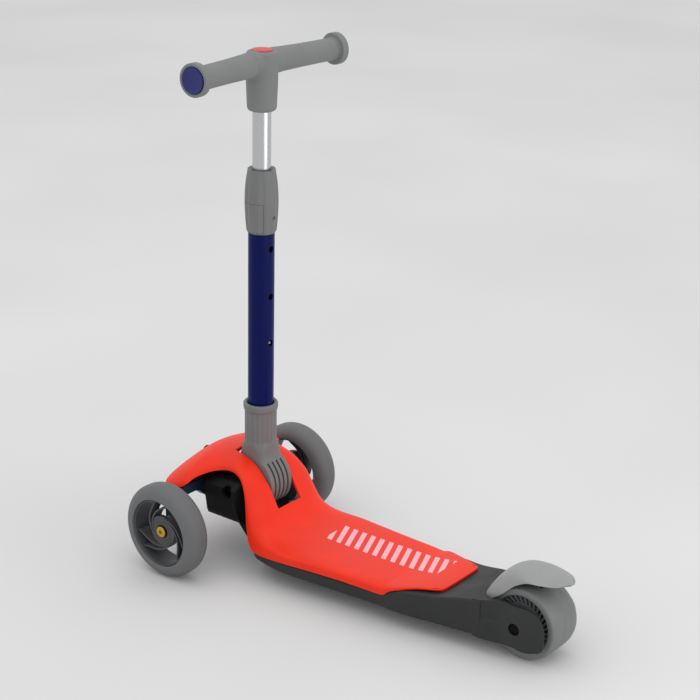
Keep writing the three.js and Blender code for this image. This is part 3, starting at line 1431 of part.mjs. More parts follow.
function rearRim() {
  const seatFrom = rearHubHalfWidth - bearingWidth - seatGap;
  const seatTo = rearHubHalfWidth + overrun;
  const outer = rearTyreBore - seatGap;
  const disc = rodY(outer, -rearRimHalfWidth, rearRimHalfWidth, tyreSides);
  const barrel = rodY(rearHubBarrel, -rearHubHalfWidth, rearHubHalfWidth);
  const core = rodY(hubCoreRadius, -seatTo, seatTo);
  const dish = [1, -1].map((sign) => {
    const depths = [rearRimHalfWidth - rearDishDepth, rearRimHalfWidth + overrun];
    const places = depths.map((depth) => sign * depth).sort((a, b) => a - b);
    return solid(sleeveY(rearHubBarrel, rearFinInnerRadius - rearFinWidth, ...places, smallSides));
  });
  const slots = [];
  for (let i = 0; i < rearFinCount; i++) {
    const pitch = fullTurn / rearFinCount;
    const halfAt = (radius) => pitch / 2 - rearFinWidth / (2 * radius);
    const finOuter = outer - rearBandWall;
    const ends = [[rearFinInnerRadius, -1], [finOuter, -1], [finOuter, 1], [rearFinInnerRadius, 1]];
    const corners = ends.map(([radius, sign]) => {
      const angle = i * pitch + sign * halfAt(radius);
      return new THREE.Vector2(radius * Math.cos(angle), radius * Math.sin(angle));
    });
    slots.push(solid(sidePlate(corners, rearTyreWidth)));
  }
  const seats = [
    solid(rodY(bearingRadius + seatGap, seatFrom, seatTo)),
    solid(rodY(bearingRadius + seatGap, -seatTo, -seatFrom)),
  ];
  return cut(join(cut(solid(disc), ...dish), solid(barrel)), solid(core), ...slots, ...seats);
}

addPiece(rearWheel, "rear_tyre", tyre(
  rearTyreBore, rearWheelRadius, rearTyreWidth, rearTyreShoulder, rearTyreDrop,
), looks.rearTyre);
addPiece(rearWheel, "rear_rim", rearRim(), looks.chassis);
const rearHubFaces = [-rearHubHalfWidth, rearHubHalfWidth];
addBearings(rearWheel, "rear_wheel", rearHubFaces, ["left_bearing", "right_bearing"]);
const boltSeat = cheekHalfWidth - rearBoltRecessDepth + seatGap;
addPiece(rearWheel, "rear_axle_bolt", headedPin(
  rearBoltHead, boltSeat, boltSeat + rearBoltHeadHeight, rearBoltRadius, -boltSeat - rearBoltHeadHeight,
), looks.steel);
addPiece(rearWheel, "rear_axle_nut", hexNut(
  rearBoltRadius, rearBoltHead, -boltSeat - rearBoltHeadHeight, -boltSeat,
), looks.steel);

// The brake turns about its pin. Its rows are places in the model's frame.
const brakeRun = brakeTailBehindAxle - brakePinBehindAxle;
const brakeTable = brakeRowShares.map(([topX, topZ, edgeX, edgeY, edgeZ, square]) => [
  -brakePinBehindAxle - topX * brakeRun,
  topZ * brakeCrownHeight,
  -brakePinBehindAxle - edgeX * brakeRun,
  edgeY * brakeHalfWidth,
  edgeZ * brakeCrownHeight,
  square,
]);
const brakeGrid = (inset) => skinGrid(brakeTable, brakeRowCount, brakeColumnCount, inset);

// Fender: a domed skin with the lug of its pin and two ribs inside that carry the shoe.
function brakeFender() {
  const skin = closedBetween(brakeGrid(0), brakeGrid(brakeWall));
  const lugCircle = circlePoints(brakeLugRadius, smallSides, -brakePinBehindAxle, brakePinHeight);
  const lug = sidePlate(lugCircle, 2 * brakeLugHalfWidth);
  const neck = sidePlate(outline([
    [-brakePinBehindAxle - brakeLugRadius, brakePinHeight, 0],
    [-brakePinBehindAxle + brakeLugRadius / 2, brakePinHeight, 0],
    [-brakePinBehindAxle + brakeLugRadius / 2, brakePinHeight + brakeLugRadius, 0],
    [brakeTable.at(-1)[0] + brakeWall / 2, brakeTable.at(-1)[1] + brakeWall / 2, 0],
    [brakeTable.at(-1)[0] - 2 * brakeWall, brakeTable.at(-1)[1] + brakeWall, 0],
  ].reverse()), 2 * brakeLugHalfWidth);
  const shoeBack = rearWheelRadius + brakeShoeGap + brakeShoeWall + seatGap;
  const ribs = [brakeRibOffset, -brakeRibOffset].map((place) =>
    solid(sidePlate(sectorPoints(
      shoeBack,
      brakeCrownHeight,
      brakeShoeStartDegrees,
      brakeShoeEndDegrees,
      smallSides / 2,
    ), brakeRibWall).translate(-wheelbase, place, rearWheelRadius)),
  );
  const within = solid(spaceUnder(brakeGrid(brakeWall / 2), rearWheelRadius));
  const bore = rodY(boreFor(brakePinRadius, pinSides), -brakeHalfWidth, brakeHalfWidth, pinSides)
    .translate(-brakePinBehindAxle, 0, brakePinHeight);
  const innerRibs = ribs.map((rib) => rib.intersect(within));
  return cut(join(solid(skin), solid(lug), solid(neck), ...innerRibs), solid(bore));
}

function brakeShoe() {
  const back = rearWheelRadius + brakeShoeGap + brakeShoeWall;
  return sidePlate(sectorPoints(
    back - brakeShoeWall,
    back,
    brakeShoeStartDegrees,
    brakeShoeEndDegrees,
    smallSides / 2,
  ), 2 * brakeShoeHalfWidth).translate(-wheelbase, 0, rearWheelRadius);
}

addPiece(frame, "brake_fender", brakeFender(), looks.brake);
addPiece(frame, "brake_shoe", brakeShoe(), looks.steel);
const brakeAxis = addGroup(frame, -brakePinBehindAxle, 0, brakePinHeight);
const brakePin = rodY(brakePinRadius, -brakePinHalfLength, brakePinHalfLength, pinSides);
addPiece(brakeAxis, "brake_pin", brakePin, looks.steel);

export default scooter;
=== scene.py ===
from math import cos, hypot, pi, radians, sin, sqrt

import bmesh
import bpy
from mathutils import Matrix, Vector


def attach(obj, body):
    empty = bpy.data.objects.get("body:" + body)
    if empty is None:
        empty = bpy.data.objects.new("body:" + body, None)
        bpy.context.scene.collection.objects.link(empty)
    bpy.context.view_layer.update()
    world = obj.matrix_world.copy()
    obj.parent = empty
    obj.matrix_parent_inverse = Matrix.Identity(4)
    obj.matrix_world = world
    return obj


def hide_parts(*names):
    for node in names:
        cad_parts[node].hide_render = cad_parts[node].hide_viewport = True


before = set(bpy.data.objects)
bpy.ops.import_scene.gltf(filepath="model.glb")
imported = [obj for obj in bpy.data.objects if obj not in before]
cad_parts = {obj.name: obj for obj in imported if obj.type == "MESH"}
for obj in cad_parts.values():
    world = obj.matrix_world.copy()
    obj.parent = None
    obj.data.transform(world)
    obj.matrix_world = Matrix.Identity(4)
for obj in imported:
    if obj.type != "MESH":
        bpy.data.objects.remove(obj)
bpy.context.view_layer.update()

# Camera: it stands behind the scooter on its left, at standing eye level, and looks down on the deck with a
# long lens, so that the bar and the three wheels just fill the square picture.
camera_place = Vector((-1.1783, 1.4775, 1.0108))
camera_heading = radians(-50.68)
camera_dip = radians(20.28)
camera_roll = radians(-0.29)
camera_data = bpy.data.cameras.new("camera")
camera_data.lens = 89.36
camera_data.sensor_width = 36
camera = bpy.data.objects.new("camera", camera_data)
camera_look = Vector((
    cos(camera_dip) * cos(camera_heading),
    cos(camera_dip) * sin(camera_heading),
    -sin(camera_dip),
))
camera_turn = camera_look.to_track_quat("-Z", "Y").to_matrix() @ Matrix.Rotation(camera_roll, 3, "Z")
camera.matrix_world = Matrix.Translation(camera_place) @ camera_turn.to_4x4()
bpy.context.scene.collection.objects.link(camera)
bpy.context.scene.camera = camera

# Studio: matt pale floor paper under an overhead softbox, in a white room. The room and the softbox together
# light a level surface at about one, so that each colour comes out about as it is written.
bpy.context.scene.view_settings.view_transform = "Standard"


def linear(colour):
    """An sRGB hex colour as linear values with full alpha."""
    shares = [int(colour[i:i + 2], 16) / 255 for i in (0, 2, 4)]
    return [s / 12.92 if s <= 0.04045 else ((s + 0.055) / 1.055) ** 2.4 for s in shares] + [1]


def add_node(finish, kind, inputs={}, **settings):
    """Adds a node to a finish: settings are its own, and inputs are values or the sockets that feed them."""
    node = finish.node_tree.nodes.new("ShaderNode" + kind)
    for name, value in settings.items():
        setattr(node, name, value)
    for name, value in inputs.items():
        if isinstance(value, bpy.types.NodeSocket):
            finish.node_tree.links.new(value, node.inputs[name])
        else:
            node.inputs[name].default_value = value
    return node


def shader_of(finish):
    """The shader of a finish, which holds its colour, roughness, metallic share and specular level."""
    return finish.node_tree.nodes["Principled BSDF"]


def new_finish(name, colour, roughness, metallic=0.0, specular=0.5):
    """A finish whose constant values are set on its shader itself."""
    finish = bpy.data.materials.new(name)
    finish.use_nodes = True
    shader = shader_of(finish)
    shader.inputs["Base Color"].default_value = linear(colour)
    shader.inputs["Roughness"].default_value = roughness
    shader.inputs["Metallic"].default_value = metallic
    shader.inputs["Specular IOR Level"].default_value = specular
    return finish


def feed(finish, name, output):
    """Feeds an output to a named input of a finish's shader."""
    finish.node_tree.links.new(output, shader_of(finish).inputs[name])


# Matt floor paper: rolled and uncoated, so it has no gloss and only a faint cloudiness.
floor_reach = 9
clouds_per_metre = 1.3
# Most values of a noise lie between these two.
noise_low = 0.3
noise_high = 0.7
floor_paper = new_finish("matt_floor_paper", "DCDCDC", 0.95, specular=0.1)
paper_place = add_node(floor_paper, "TexCoord").outputs["Object"]
paper_cloud = add_node(floor_paper, "TexNoise", {"Vector": paper_place, "Scale": clouds_per_metre, "Detail": 2.0})
paper_tone = add_node(floor_paper, "ValToRGB", {"Fac": paper_cloud.outputs[0]})
paper_dark, paper_light = paper_tone.color_ramp.elements
paper_dark.position, paper_dark.color = noise_low, linear("D9D9D9")
paper_light.position, paper_light.color = noise_high, linear("E0E0E0")
feed(floor_paper, "Base Color", paper_tone.outputs["Color"])
floor_shape = bmesh.new()
bmesh.ops.create_grid(floor_shape, x_segments=4, y_segments=4, size=floor_reach)
floor_mesh = bpy.data.meshes.new("floor_paper")
floor_shape.to_mesh(floor_mesh)
floor_shape.free()
floor_mesh.materials.append(floor_paper)
floor = bpy.data.objects.new("floor_paper", floor_mesh)
bpy.context.scene.collection.objects.link(floor)

# The room is white above and a little darker towards the horizon, which gives round metal its bands.
room_strength = 0.9
horizon_white = (0.9, 0.9, 0.91, 1)
full_white_height = 0.75
room = bpy.data.worlds.new("white_room")
room.use_nodes = True
room_air = room.node_tree.nodes["Background"]
room_air.inputs["Strength"].default_value = room_strength
room_place = add_node(room, "TexCoord").outputs["Generated"]
room_height = add_node(room, "SeparateXYZ", {"Vector": room_place}).outputs["Z"]
room_tone = add_node(room, "ValToRGB", {"Fac": room_height})
room_low, room_high = room_tone.color_ramp.elements
room_low.position, room_low.color = 0, horizon_white
room_high.position, room_high.color = full_white_height, (1, 1, 1, 1)
room.node_tree.links.new(room_tone.outputs["Color"], room_air.inputs["Color"])
bpy.context.scene.world = room


def add_softbox(name, place, target, width, height, power):
    """A softbox of a width and height that faces its target."""
    lamp = bpy.data.lights.new(name, "AREA")
    lamp.shape = "RECTANGLE"
    lamp.size = width
    lamp.size_y = height
    lamp.energy = power
    box = bpy.data.objects.new(name, lamp)
    aim = (Vector(target) - Vector(place)).to_track_quat("-Z", "Y")
    box.matrix_world = Matrix.Translation(place) @ aim.to_matrix().to_4x4()
    bpy.context.scene.collection.objects.link(box)


add_softbox("overhead_softbox", place=(0.0, 0.2, 3.4), target=(0, 0, 0.1), width=3.6, height=3.6, power=22)
add_softbox("side_softbox", place=(-1.15, -0.06, 0.3), target=(0, 0, 0.3), width=0.9, height=0.5, power=2.2)

# Deck shell: the one bright red piece that the child stands on. It is injection moulded polypropylene about
# 3 mm thick, runs over the front truck as a hump with two wings, and clips onto the black tray below.
mm = 0.001
front_axle = 225.5
shell_wall = 2.8
hump_start = 125
deck_end = 360
deck_height = 52
deck_half_width = 72
crown_height = 140
wing_half_span = 94
# Rows of the shell from its tail to its nose: place and height of the crown line, place, half width and
# height of the edge, as shares of the deck or of the hump, and the squareness of the section.
deck_rows = [
    (1.0, 1.154, 0.957, 0.528, 1.096, 5),
    (0.966, 1.154, 0.936, 0.576, 1.087, 6),
    (0.894, 1.131, 0.872, 0.653, 1.054, 7),
    (0.821, 1.088, 0.809, 0.75, 1.0, 7),
    (0.766, 1.05, 0.762, 0.826, 0.952, 7),
    (0.732, 1.031, 0.732, 0.854, 0.885, 7),
    (0.702, 1.019, 0.702, 0.861, 0.788, 6),
    (0.617, 1.008, 0.617, 0.882, 0.785, 7),
    (0.447, 1.0, 0.447, 0.91, 0.785, 8),
    (0.277, 1.0, 0.277, 0.951, 0.77, 8),
    (0.149, 1.006, 0.115, 0.993, 0.75, 7),
    (0.055, 1.038, -0.013, 1.0, 0.72, 5),
]
hump_rows = [
    (0.976, 0.414, 0.786, 0.745, 0.264, 4.2),
    (0.88, 0.457, 0.695, 0.718, 0.307, 3.6),
    (0.808, 0.51, 0.652, 0.691, 0.393, 3.2),
    (0.76, 0.562, 0.625, 0.67, 0.5, 3),
    (0.712, 0.638, 0.6, 0.638, 0.607, 2.9),
    (0.648, 0.739, 0.572, 0.606, 0.7, 2.8),
    (0.576, 0.827, 0.53, 0.569, 0.764, 2.6),
    (0.488, 0.905, 0.48, 0.532, 0.818, 2.5),
    (0.392, 0.957, 0.408, 0.5, 0.854, 2.4),
    (0.288, 0.986, 0.32, 0.495, 0.875, 2.3),
    (0.176, 1.0, 0.224, 0.543, 0.875, 2.2),
    (0.064, 1.0, 0.128, 0.649, 0.857, 2.1),
    (-0.04, 0.992, 0.056, 0.809, 0.825, 1.9),
    (-0.128, 0.972, 0.016, 0.936, 0.779, 1.8),
    (-0.208, 0.936, -0.064, 1.0, 0.736, 1.8),
    (-0.28, 0.884, -0.176, 1.0, 0.721, 1.8),
    (-0.344, 0.812, -0.272, 0.936, 0.714, 1.9),
    (-0.392, 0.714, -0.336, 0.79, 0.686, 2.1),
    (-0.416, 0.629, -0.376, 0.62, 0.629, 2.3),
]


def measured(rows, start, run, half_width, height):
    """Rows of shares as rows in millimetres, which run back from a start."""
    return [
        (start - a * run, b * height, start - c * run, d * half_width, e * height, f) for a, b, c, d, e, f in rows
    ]


shell_rows = measured(deck_rows, -hump_start, deck_end - hump_start, deck_half_width, deck_height)
shell_rows += measured(hump_rows, 0, hump_start, wing_half_span, crown_height)
slot_half_width = 21
slot_front = -24
slot_rear = -95
slot_floor = 62
lip_run = 12.5
lip_drop = 16
button_height = 111
button_radius = 8
button_gap = 0.4
button_hole_span = (30, 60)
cut_margin_along = 14
cut_margin_across = 12
cut_margin_below = 8
on_cut = 0.01
near_cut = 0.05
whole_model = Matrix.Translation((front_axle * mm, 0, 0)) @ Matrix.Scale(mm, 4)


def at(x, y, z):
    """A move to a place."""
    return Matrix.Translation((x, y, z))


def turned(angle, axis):
    """A turn about an axis."""
    return Matrix.Rotation(angle, 4, axis)


def through(rows, share):
    """A Catmull-Rom curve through rows of numbers, read at a share of the way from the first to the last."""
    place = share * (len(rows) - 1)
    i = min(int(place), len(rows) - 2)
    t = place - i
    first = rows[i - 1] if i > 0 else [2 * p - q for p, q in zip(rows[0], rows[1])]
    last = rows[i + 2] if i + 2 < len(rows) else [2 * p - q for p, q in zip(rows[-1], rows[-2])]
    return [
        0.5 * (2 * b + (c - a) * t + (2 * a - 5 * b + 4 * c - d) * t * t + (3 * b - a - 3 * c + d) * t ** 3)
        for a, b, c, d in zip(first, rows[i], rows[i + 1], last)
    ]


def crowned(rows, across, along):
    """A point of a crowned skin: across runs from edge to edge, along from its first row to its last."""
    top_x, top_z, edge_x, edge_y, edge_z, square = through(rows, along)
    angle = abs(2 * across - 1) * pi / 2
    side = 1 if across > 0.5 else -1
    out = sin(angle) ** (2 / square)
    down = 1 - max(cos(angle), 0) ** (2 / square)
    return Vector((top_x + (edge_x - top_x) * down, side * edge_y * out, top_z + (edge_z - top_z) * down))


def skin(columns, rows, place):
    """A grid laid over a form: place gives each of its points from its shares across and along."""
    shape = bmesh.new()
    bmesh.ops.create_grid(shape, x_segments=columns, y_segments=rows, size=0.5)
    for vert in shape.verts:
        vert.co = place(vert.co.x + 0.5, vert.co.y + 0.5)
    bmesh.ops.remove_doubles(shape, verts=shape.verts, dist=0.001)
    bmesh.ops.recalc_face_normals(shape, faces=shape.faces)
    return shape


def spun(profile, steps, angle=2 * pi):
    """A profile of radii and heights turned round the upright axis, closed where it meets the axis."""
    shape = bmesh.new()
    points = [shape.verts.new((radius, 0, height)) for radius, height in profile]
    for pair in zip(points, points[1:]):
        shape.edges.new(pair)
    whole = angle >= 2 * pi
    bmesh.ops.spin(
        shape, geom=shape.verts[:] + shape.edges[:], cent=(0, 0, 0), axis=(0, 0, 1),
        angle=angle, steps=steps, use_merge=whole,
    )
    bmesh.ops.remove_doubles(shape, verts=shape.verts, dist=0.001)
    if not whole:
        bmesh.ops.holes_fill(shape, edges=shape.edges, sides=0)
    bmesh.ops.recalc_face_normals(shape, faces=shape.faces)
    return shape


def rod(radius, low, high, steps):
    """A closed round rod about the upright axis, from one height to another."""
    return spun([(0, low), (radius, low), (radius, high), (0, high)], steps)


def band(inner, outer, low, high, steps, angle=2 * pi):
    """A ring about the upright axis, or the sector of one where an angle is given."""
    return spun([(inner, low), (outer, low), (outer, high), (inner, high), (inner, low)], steps, angle)


def eased(shape, offset, segments=3, least=40, above=float("-inf")):
    """Rounds the edges of a shape above a height that turn by more than an angle."""
    edges = [
        e for e in shape.edges
        if len(e.link_faces) == 2 and e.calc_face_angle(0) > radians(least) and e.verts[0].co.z > above
    ]
    bmesh.ops.bevel(
        shape, geom=edges, offset=offset, segments=segments, affect="EDGES", profile=0.5,
        offset_type="OFFSET", clamp_overlap=True, material=-1,
    )
    return shape


def pushed_out(points, depth):
    """A flat outline in the plane of X and Y made into a block up to a depth, from zero."""
    shape = bmesh.new()
    face = shape.faces.new([shape.verts.new((x, y, 0)) for x, y in points])
    raised = bmesh.ops.extrude_face_region(shape, geom=[face])["geom"]
    bmesh.ops.translate(shape, vec=(0, 0, depth), verts=[v for v in raised if isinstance(v, bmesh.types.BMVert)])
    bmesh.ops.recalc_face_normals(shape, faces=shape.faces)
    return shape


def add_block(shape, sizes, place):
    """Adds a block of three sizes to a shape, with its middle at a place."""
    bmesh.ops.create_cube(shape, size=1, matrix=place @ Matrix.Diagonal((*sizes, 1)))
    return shape


def brought_in(shape, other, place=Matrix.Identity(4)):
    """Adds another shape, moved to its place, to a shape."""
    other.transform(place)
    if place.determinant() < 0:
        bmesh.ops.reverse_faces(other, faces=other.faces)
    mesh = bpy.data.meshes.new("brought_in")
    other.to_mesh(mesh)
    other.free()
    shape.from_mesh(mesh)
    bpy.data.meshes.remove(mesh)
    return shape


def made_piece(name, shape, place, finish, crease=32):
    """A shape in its own millimetres put in its place in the scooter, smooth but for its creases."""
    shape.transform(place)
    mesh = bpy.data.meshes.new(name)
    shape.to_mesh(mesh)
    shape.free()
    mesh.materials.append(finish)
    mesh.shade_smooth()
    mesh.set_sharp_from_angle(angle=radians(crease))
    piece = bpy.data.objects.new(name, mesh)
    bpy.context.scene.collection.objects.link(piece)
    return piece


def reopened(*pieces):
    """The meshes of pieces as one shape that can be worked on again. The pieces are used up."""
    shape = bmesh.new()
    for piece in pieces:
        shape.from_mesh(piece.data)
        bpy.data.objects.remove(piece)
    return shape


def settled(piece):
    """A piece with its modifiers worked into its mesh."""
    bpy.context.view_layer.update()
    worked = bpy.data.meshes.new_from_object(piece.evaluated_get(bpy.context.evaluated_depsgraph_get()))
    piece.modifiers.clear()
    piece.data = worked
    return piece


def combine(piece, shape, place, operation="DIFFERENCE"):
    """Cuts, fills or trims a piece with a shape in its own millimetres, put in its place in the scooter."""
    other = made_piece("tool", shape, place, piece.data.materials[0])
    tool = piece.modifiers.new("tool", "BOOLEAN")
    tool.object = other
    tool.operation = operation
    tool.solver = "EXACT"
    settled(piece)
    bpy.data.objects.remove(other)


def give_wall(piece, thickness, even=False):
    """Gives a skin its wall, grown to the inside."""
    wall = piece.modifiers.new("wall", "SOLIDIFY")
    wall.thickness = thickness * mm
    wall.offset = -1
    wall.use_even_offset = even
    settled(piece)


def soften_edges(piece, width, segments=2, least=35):
    """Gives a piece the small radii of its mould, and shading that keeps its flats flat."""
    radii = piece.modifiers.new("mould_radii", "BEVEL")
    radii.width = width * mm
    radii.segments = segments
    radii.limit_method = "ANGLE"
    radii.angle_limit = radians(least)
    radii.use_clamp_overlap = True
    flats = piece.modifiers.new("flats", "WEIGHTED_NORMAL")
    flats.keep_sharp = True


def moulded(name, colour, roughness, grain, depth, cloud=0.06, specular=0.5):
    """Moulded plastic: one colour all through with a fine eroded grain, and a gloss that varies with the flow."""
    flow_size = 35
    tint_change = 0.05
    finish = new_finish(name, colour, roughness, specular=specular)
    place = add_node(finish, "TexCoord").outputs["Object"]
    flow = add_node(finish, "TexNoise", {"Vector": place, "Scale": 1 / (flow_size * mm), "Detail": 2.0}).outputs[0]
    gloss = add_node(finish, "MapRange", {
        "Value": flow, "From Min": noise_low, "From Max": noise_high,
        "To Min": roughness - cloud, "To Max": roughness + cloud,
    })
    feed(finish, "Roughness", gloss.outputs["Result"])
    value = add_node(finish, "MapRange", {
        "Value": flow, "From Min": noise_low, "From Max": noise_high,
        "To Min": 1 - tint_change, "To Max": 1 + tint_change,
    })
    tint = add_node(finish, "HueSaturation", {"Color": linear(colour), "Value": value.outputs["Result"]})
    feed(finish, "Base Color", tint.outputs["Color"])
    # A real grain is a few tenths of a millimetre wide. It is drawn coarser, so that it shows.
    eroded = add_node(finish, "TexNoise", {"Vector": place, "Scale": 1 / (grain * mm), "Detail": 3.0}).outputs[0]
    bump = add_node(finish, "Bump", {"Height": eroded, "Strength": 0.35, "Distance": depth * mm})
    feed(finish, "Normal", bump.outputs["Normal"])
    return finish


shell_shape = skin(96, 190, lambda across, along: crowned(shell_rows, across, along))
slot_near = []
for face in shell_shape.faces:
    middle = face.calc_center_median()
    along_slot = slot_rear - cut_margin_along < middle.x < slot_front + cut_margin_along
    across_slot = abs(middle.y) < slot_half_width + cut_margin_across
    if along_slot and across_slot and middle.z > slot_floor - cut_margin_below:
        slot_near.append(face)
for point, normal in [
    ((0, slot_half_width, 0), (0, 1, 0)),
    ((0, -slot_half_width, 0), (0, 1, 0)),
    ((slot_front, 0, 0), (1, 0, 0)),
    ((slot_rear, 0, 0), (1, 0, 0)),
]:
    slot_near = [face for face in slot_near if face.is_valid]
    near_edges = list({edge for face in slot_near for edge in face.edges})
    near_verts = list({vert for face in slot_near for vert in face.verts})
    split = bmesh.ops.bisect_plane(
        shell_shape, geom=slot_near + near_edges + near_verts, plane_co=point, plane_no=normal, dist=0.001,
    )
    slot_near = [item for item in split["geom"] if isinstance(item, bmesh.types.BMFace)]
inside_slot = []
for face in shell_shape.faces:
    middle = face.calc_center_median()
    if abs(middle.y) < slot_half_width - on_cut and slot_rear + on_cut < middle.x < slot_front - on_cut:
        if middle.z > slot_floor:
            inside_slot.append(face)
bmesh.ops.delete(shell_shape, geom=inside_slot, context="FACES")
lip_edges = [
    edge for edge in shell_shape.edges
    if edge.is_boundary
    and all(abs(v.co.x - slot_rear) < near_cut and abs(v.co.y) < slot_half_width + near_cut for v in edge.verts)
]
lip_items = bmesh.ops.extrude_edge_only(shell_shape, edges=lip_edges)["geom"]
lip = [item for item in lip_items if isinstance(item, bmesh.types.BMVert)]
bmesh.ops.translate(shell_shape, vec=(lip_run, 0, -lip_drop), verts=lip)

# Red polypropylene: moulded with a satin face, so lit planes stay clear and the wings darken evenly. The bare
# place of the print on the deck carries plain slanted stripes in pale pink.
print_middle = (-17, -14.5)
print_half_length = 86
print_half_width = 20.5
print_above = 50.5
stripe_lean = 0.45
stripe_pitch = 14
stripe_share = 0.5
red_shell = moulded("moulded_polypropylene_red", "F22B06", 0.42, 1.6, 0.02, cloud=0.04, specular=0.3)
deck_place = add_node(red_shell, "TexCoord").outputs["Object"]
print_frame = add_node(red_shell, "Mapping", {
    "Vector": deck_place, "Location": (-print_middle[0] * mm, -print_middle[1] * mm, 0),
}).outputs["Vector"]
print_axes = add_node(red_shell, "SeparateXYZ", {"Vector": print_frame}).outputs
deck_top = add_node(red_shell, "SeparateXYZ", {"Vector": deck_place}).outputs["Z"]
from_middle = add_node(red_shell, "Math", {0: print_axes["X"]}, operation="ABSOLUTE").outputs[0]
within_length = add_node(red_shell, "Math", {0: from_middle, 1: print_half_length * mm}, operation="LESS_THAN")
from_line = add_node(red_shell, "Math", {0: print_axes["Y"]}, operation="ABSOLUTE").outputs[0]
within_width = add_node(red_shell, "Math", {0: from_line, 1: print_half_width * mm}, operation="LESS_THAN")
on_top = add_node(red_shell, "Math", {0: deck_top, 1: print_above * mm}, operation="GREATER_THAN")
slanted = add_node(red_shell, "Math", {
    0: print_axes["Y"], 1: stripe_lean, 2: print_axes["X"],
}, operation="MULTIPLY_ADD").outputs[0]
stripes = add_node(red_shell, "Math", {0: slanted, 1: 1 / (stripe_pitch * mm)}, operation="MULTIPLY").outputs[0]
stripe_part = add_node(red_shell, "Math", {0: stripes}, operation="FRACT").outputs[0]
printed = add_node(red_shell, "Math", {0: stripe_part, 1: stripe_share}, operation="LESS_THAN").outputs[0]
for limit in (within_length, within_width, on_top):
    printed = add_node(red_shell, "Math", {0: printed, 1: limit.outputs[0]}, operation="MULTIPLY").outputs[0]
shell_tint = shader_of(red_shell).inputs["Base Color"].links[0].from_socket
printed_colour = add_node(red_shell, "Mix", {0: printed, 6: shell_tint, 7: linear("F7B4BF")}, data_type="RGBA")
feed(red_shell, "Base Color", printed_colour.outputs[2])

deck_shell = made_piece("deck_shell", shell_shape, whole_model, red_shell)
give_wall(deck_shell, shell_wall, even=True)
button_hole = rod(button_radius + button_gap, *button_hole_span, 48)
button_line = whole_model @ at(0, 0, button_height) @ turned(radians(90), "Y")
combine(deck_shell, button_hole, button_line)
soften_edges(deck_shell, 0.8, segments=3, least=50)
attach(deck_shell, "deck")
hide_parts("deck_cover")

# Tray: the black moulding below the deck. It is glass filled nylon, hollow and ribbed underneath, rises
# behind the deck to the brake, and ends in the two cheeks that hold the rear axle.
wheelbase = 460
tray_bottom = 20
tray_wall = 3
tray_fillet = 6
# Rows of the tray from its nose to its tail: place, half width and height of its top.
tray_rows = [
    (-78, 50, 35.7), (-88, 61, 35.7), (-102, 67.5, 36.5), (-140, 70.5, 37.5), (-200, 64, 37.5), (-246, 60, 37.5),
    (-284, 57.6, 40), (-300, 58.6, 47.5), (-320, 57, 52.5), (-350, 52, 55.5), (-366, 50, 58), (-390, 46, 63.5),
    (-416, 43, 67),
]
well_radius = 48.5
well_half_width = 32
rear_hub_height = 45
cheek_outer = 40
cheek_inner = 32
recess_radius = 7.3
recess_depth = 4.5
nose_rise = 6
nose_rise_from = -250
nose_rise_run = 170
hollow_rear = -390
hollow_front = -80
hollow_overrun = 5
corner_steps = 5
upright_to_side = turned(radians(-90), "X")
at_rear_axle = whole_model @ at(-wheelbase, 0, rear_hub_height) @ upright_to_side


def kept_to_one(value):
    """A value kept between 0 and 1."""
    return min(max(value, 0), 1)


def tray_section(half_width, top, bottom, fillet):
    """Outline of the tray across it: level top, upright sides and rounded lower corners."""
    points = []
    for cx, cz, radius, start in [
        (half_width, top, fillet / 2, 0), (-half_width, top, fillet / 2, 90),
        (-half_width, bottom, fillet, 180), (half_width, bottom, fillet, 270),
    ]:
        middle_x = cx - radius if cx > 0 else cx + radius
        middle_z = cz - radius if cz > bottom else cz + radius
        for step in range(corner_steps + 1):
            angle = radians(start + 90 * step / corner_steps)
            points.append((middle_x + radius * cos(angle), middle_z + radius * sin(angle)))
    return points


def tray_skin(inset, rows, steps):
    """The tray's outer form, or the hollow inside it where an inset is given."""
    fillet = 1 if inset else tray_fillet

    def place(around, along):
        x, half_width, top = through(rows, along)
        rise = nose_rise * kept_to_one((x - nose_rise_from) / nose_rise_run) ** 2
        bottom = tray_bottom - (hollow_overrun if inset else 0) + rise
        points = tray_section(half_width - inset, top - inset, bottom, fillet)
        y, z = points[round(around * len(points)) % len(points)]
        return Vector((x, y, z))

    shape = skin(4 * (corner_steps + 1), steps, place)
    bmesh.ops.holes_fill(shape, edges=[e for e in shape.edges if e.is_boundary], sides=0)
    bmesh.ops.recalc_face_normals(shape, faces=shape.faces)
    return shape


# Glass filled nylon: coarse grained, so its black is dusty rather than deep.
black_nylon = moulded("moulded_glass_filled_nylon_black", "1E1F20", 0.55, 1.8, 0.05, cloud=0.08)
tail_tray = made_piece("tail_tray", tray_skin(0, tray_rows, 90), whole_model, black_nylon)
hollow_rows = [row for row in tray_rows if hollow_rear < row[0] < hollow_front]
combine(tail_tray, tray_skin(tray_wall, hollow_rows, 40), whole_model)
combine(tail_tray, rod(well_radius, -well_half_width, well_half_width, 96), at_rear_axle)
pocket_sizes = (12.2, 22, 20)
pocket_place = (-411, 0, 66)
combine(tail_tray, add_block(bmesh.new(), pocket_sizes, at(*pocket_place)), whole_model)

# Cheeks: two plates of the tray beside the rear wheel, rounded behind. Their outer faces step in behind the
# tray and fall away from the axle, and each has a recess for the axle bolt.
cheek_top = [(-405, tray_bottom), (-405, 67), (-416, 68.5), (-436, 71.5)]
cheek_back = (-470, 46)
cheek_round = 26
cheek_foot = (-482, 34)
cheek_foot_round = 14
cheek_thickness = 11
# The cheeks are cut into squares, so that their outer faces can be shaped.
cuts_along = range(-494, -408, 3)
cuts_up = range(23, 72, 3)
step_from = -412
step_run = 32
step_depth = 3
fall_from = 17
fall_run = 19
fall_depth = 7
low_fall_run = 34
front_from = -414
front_run = 9
front_depth = 1.2
axle_boss_radius = 9
axle_boss_span = (-5, 2)


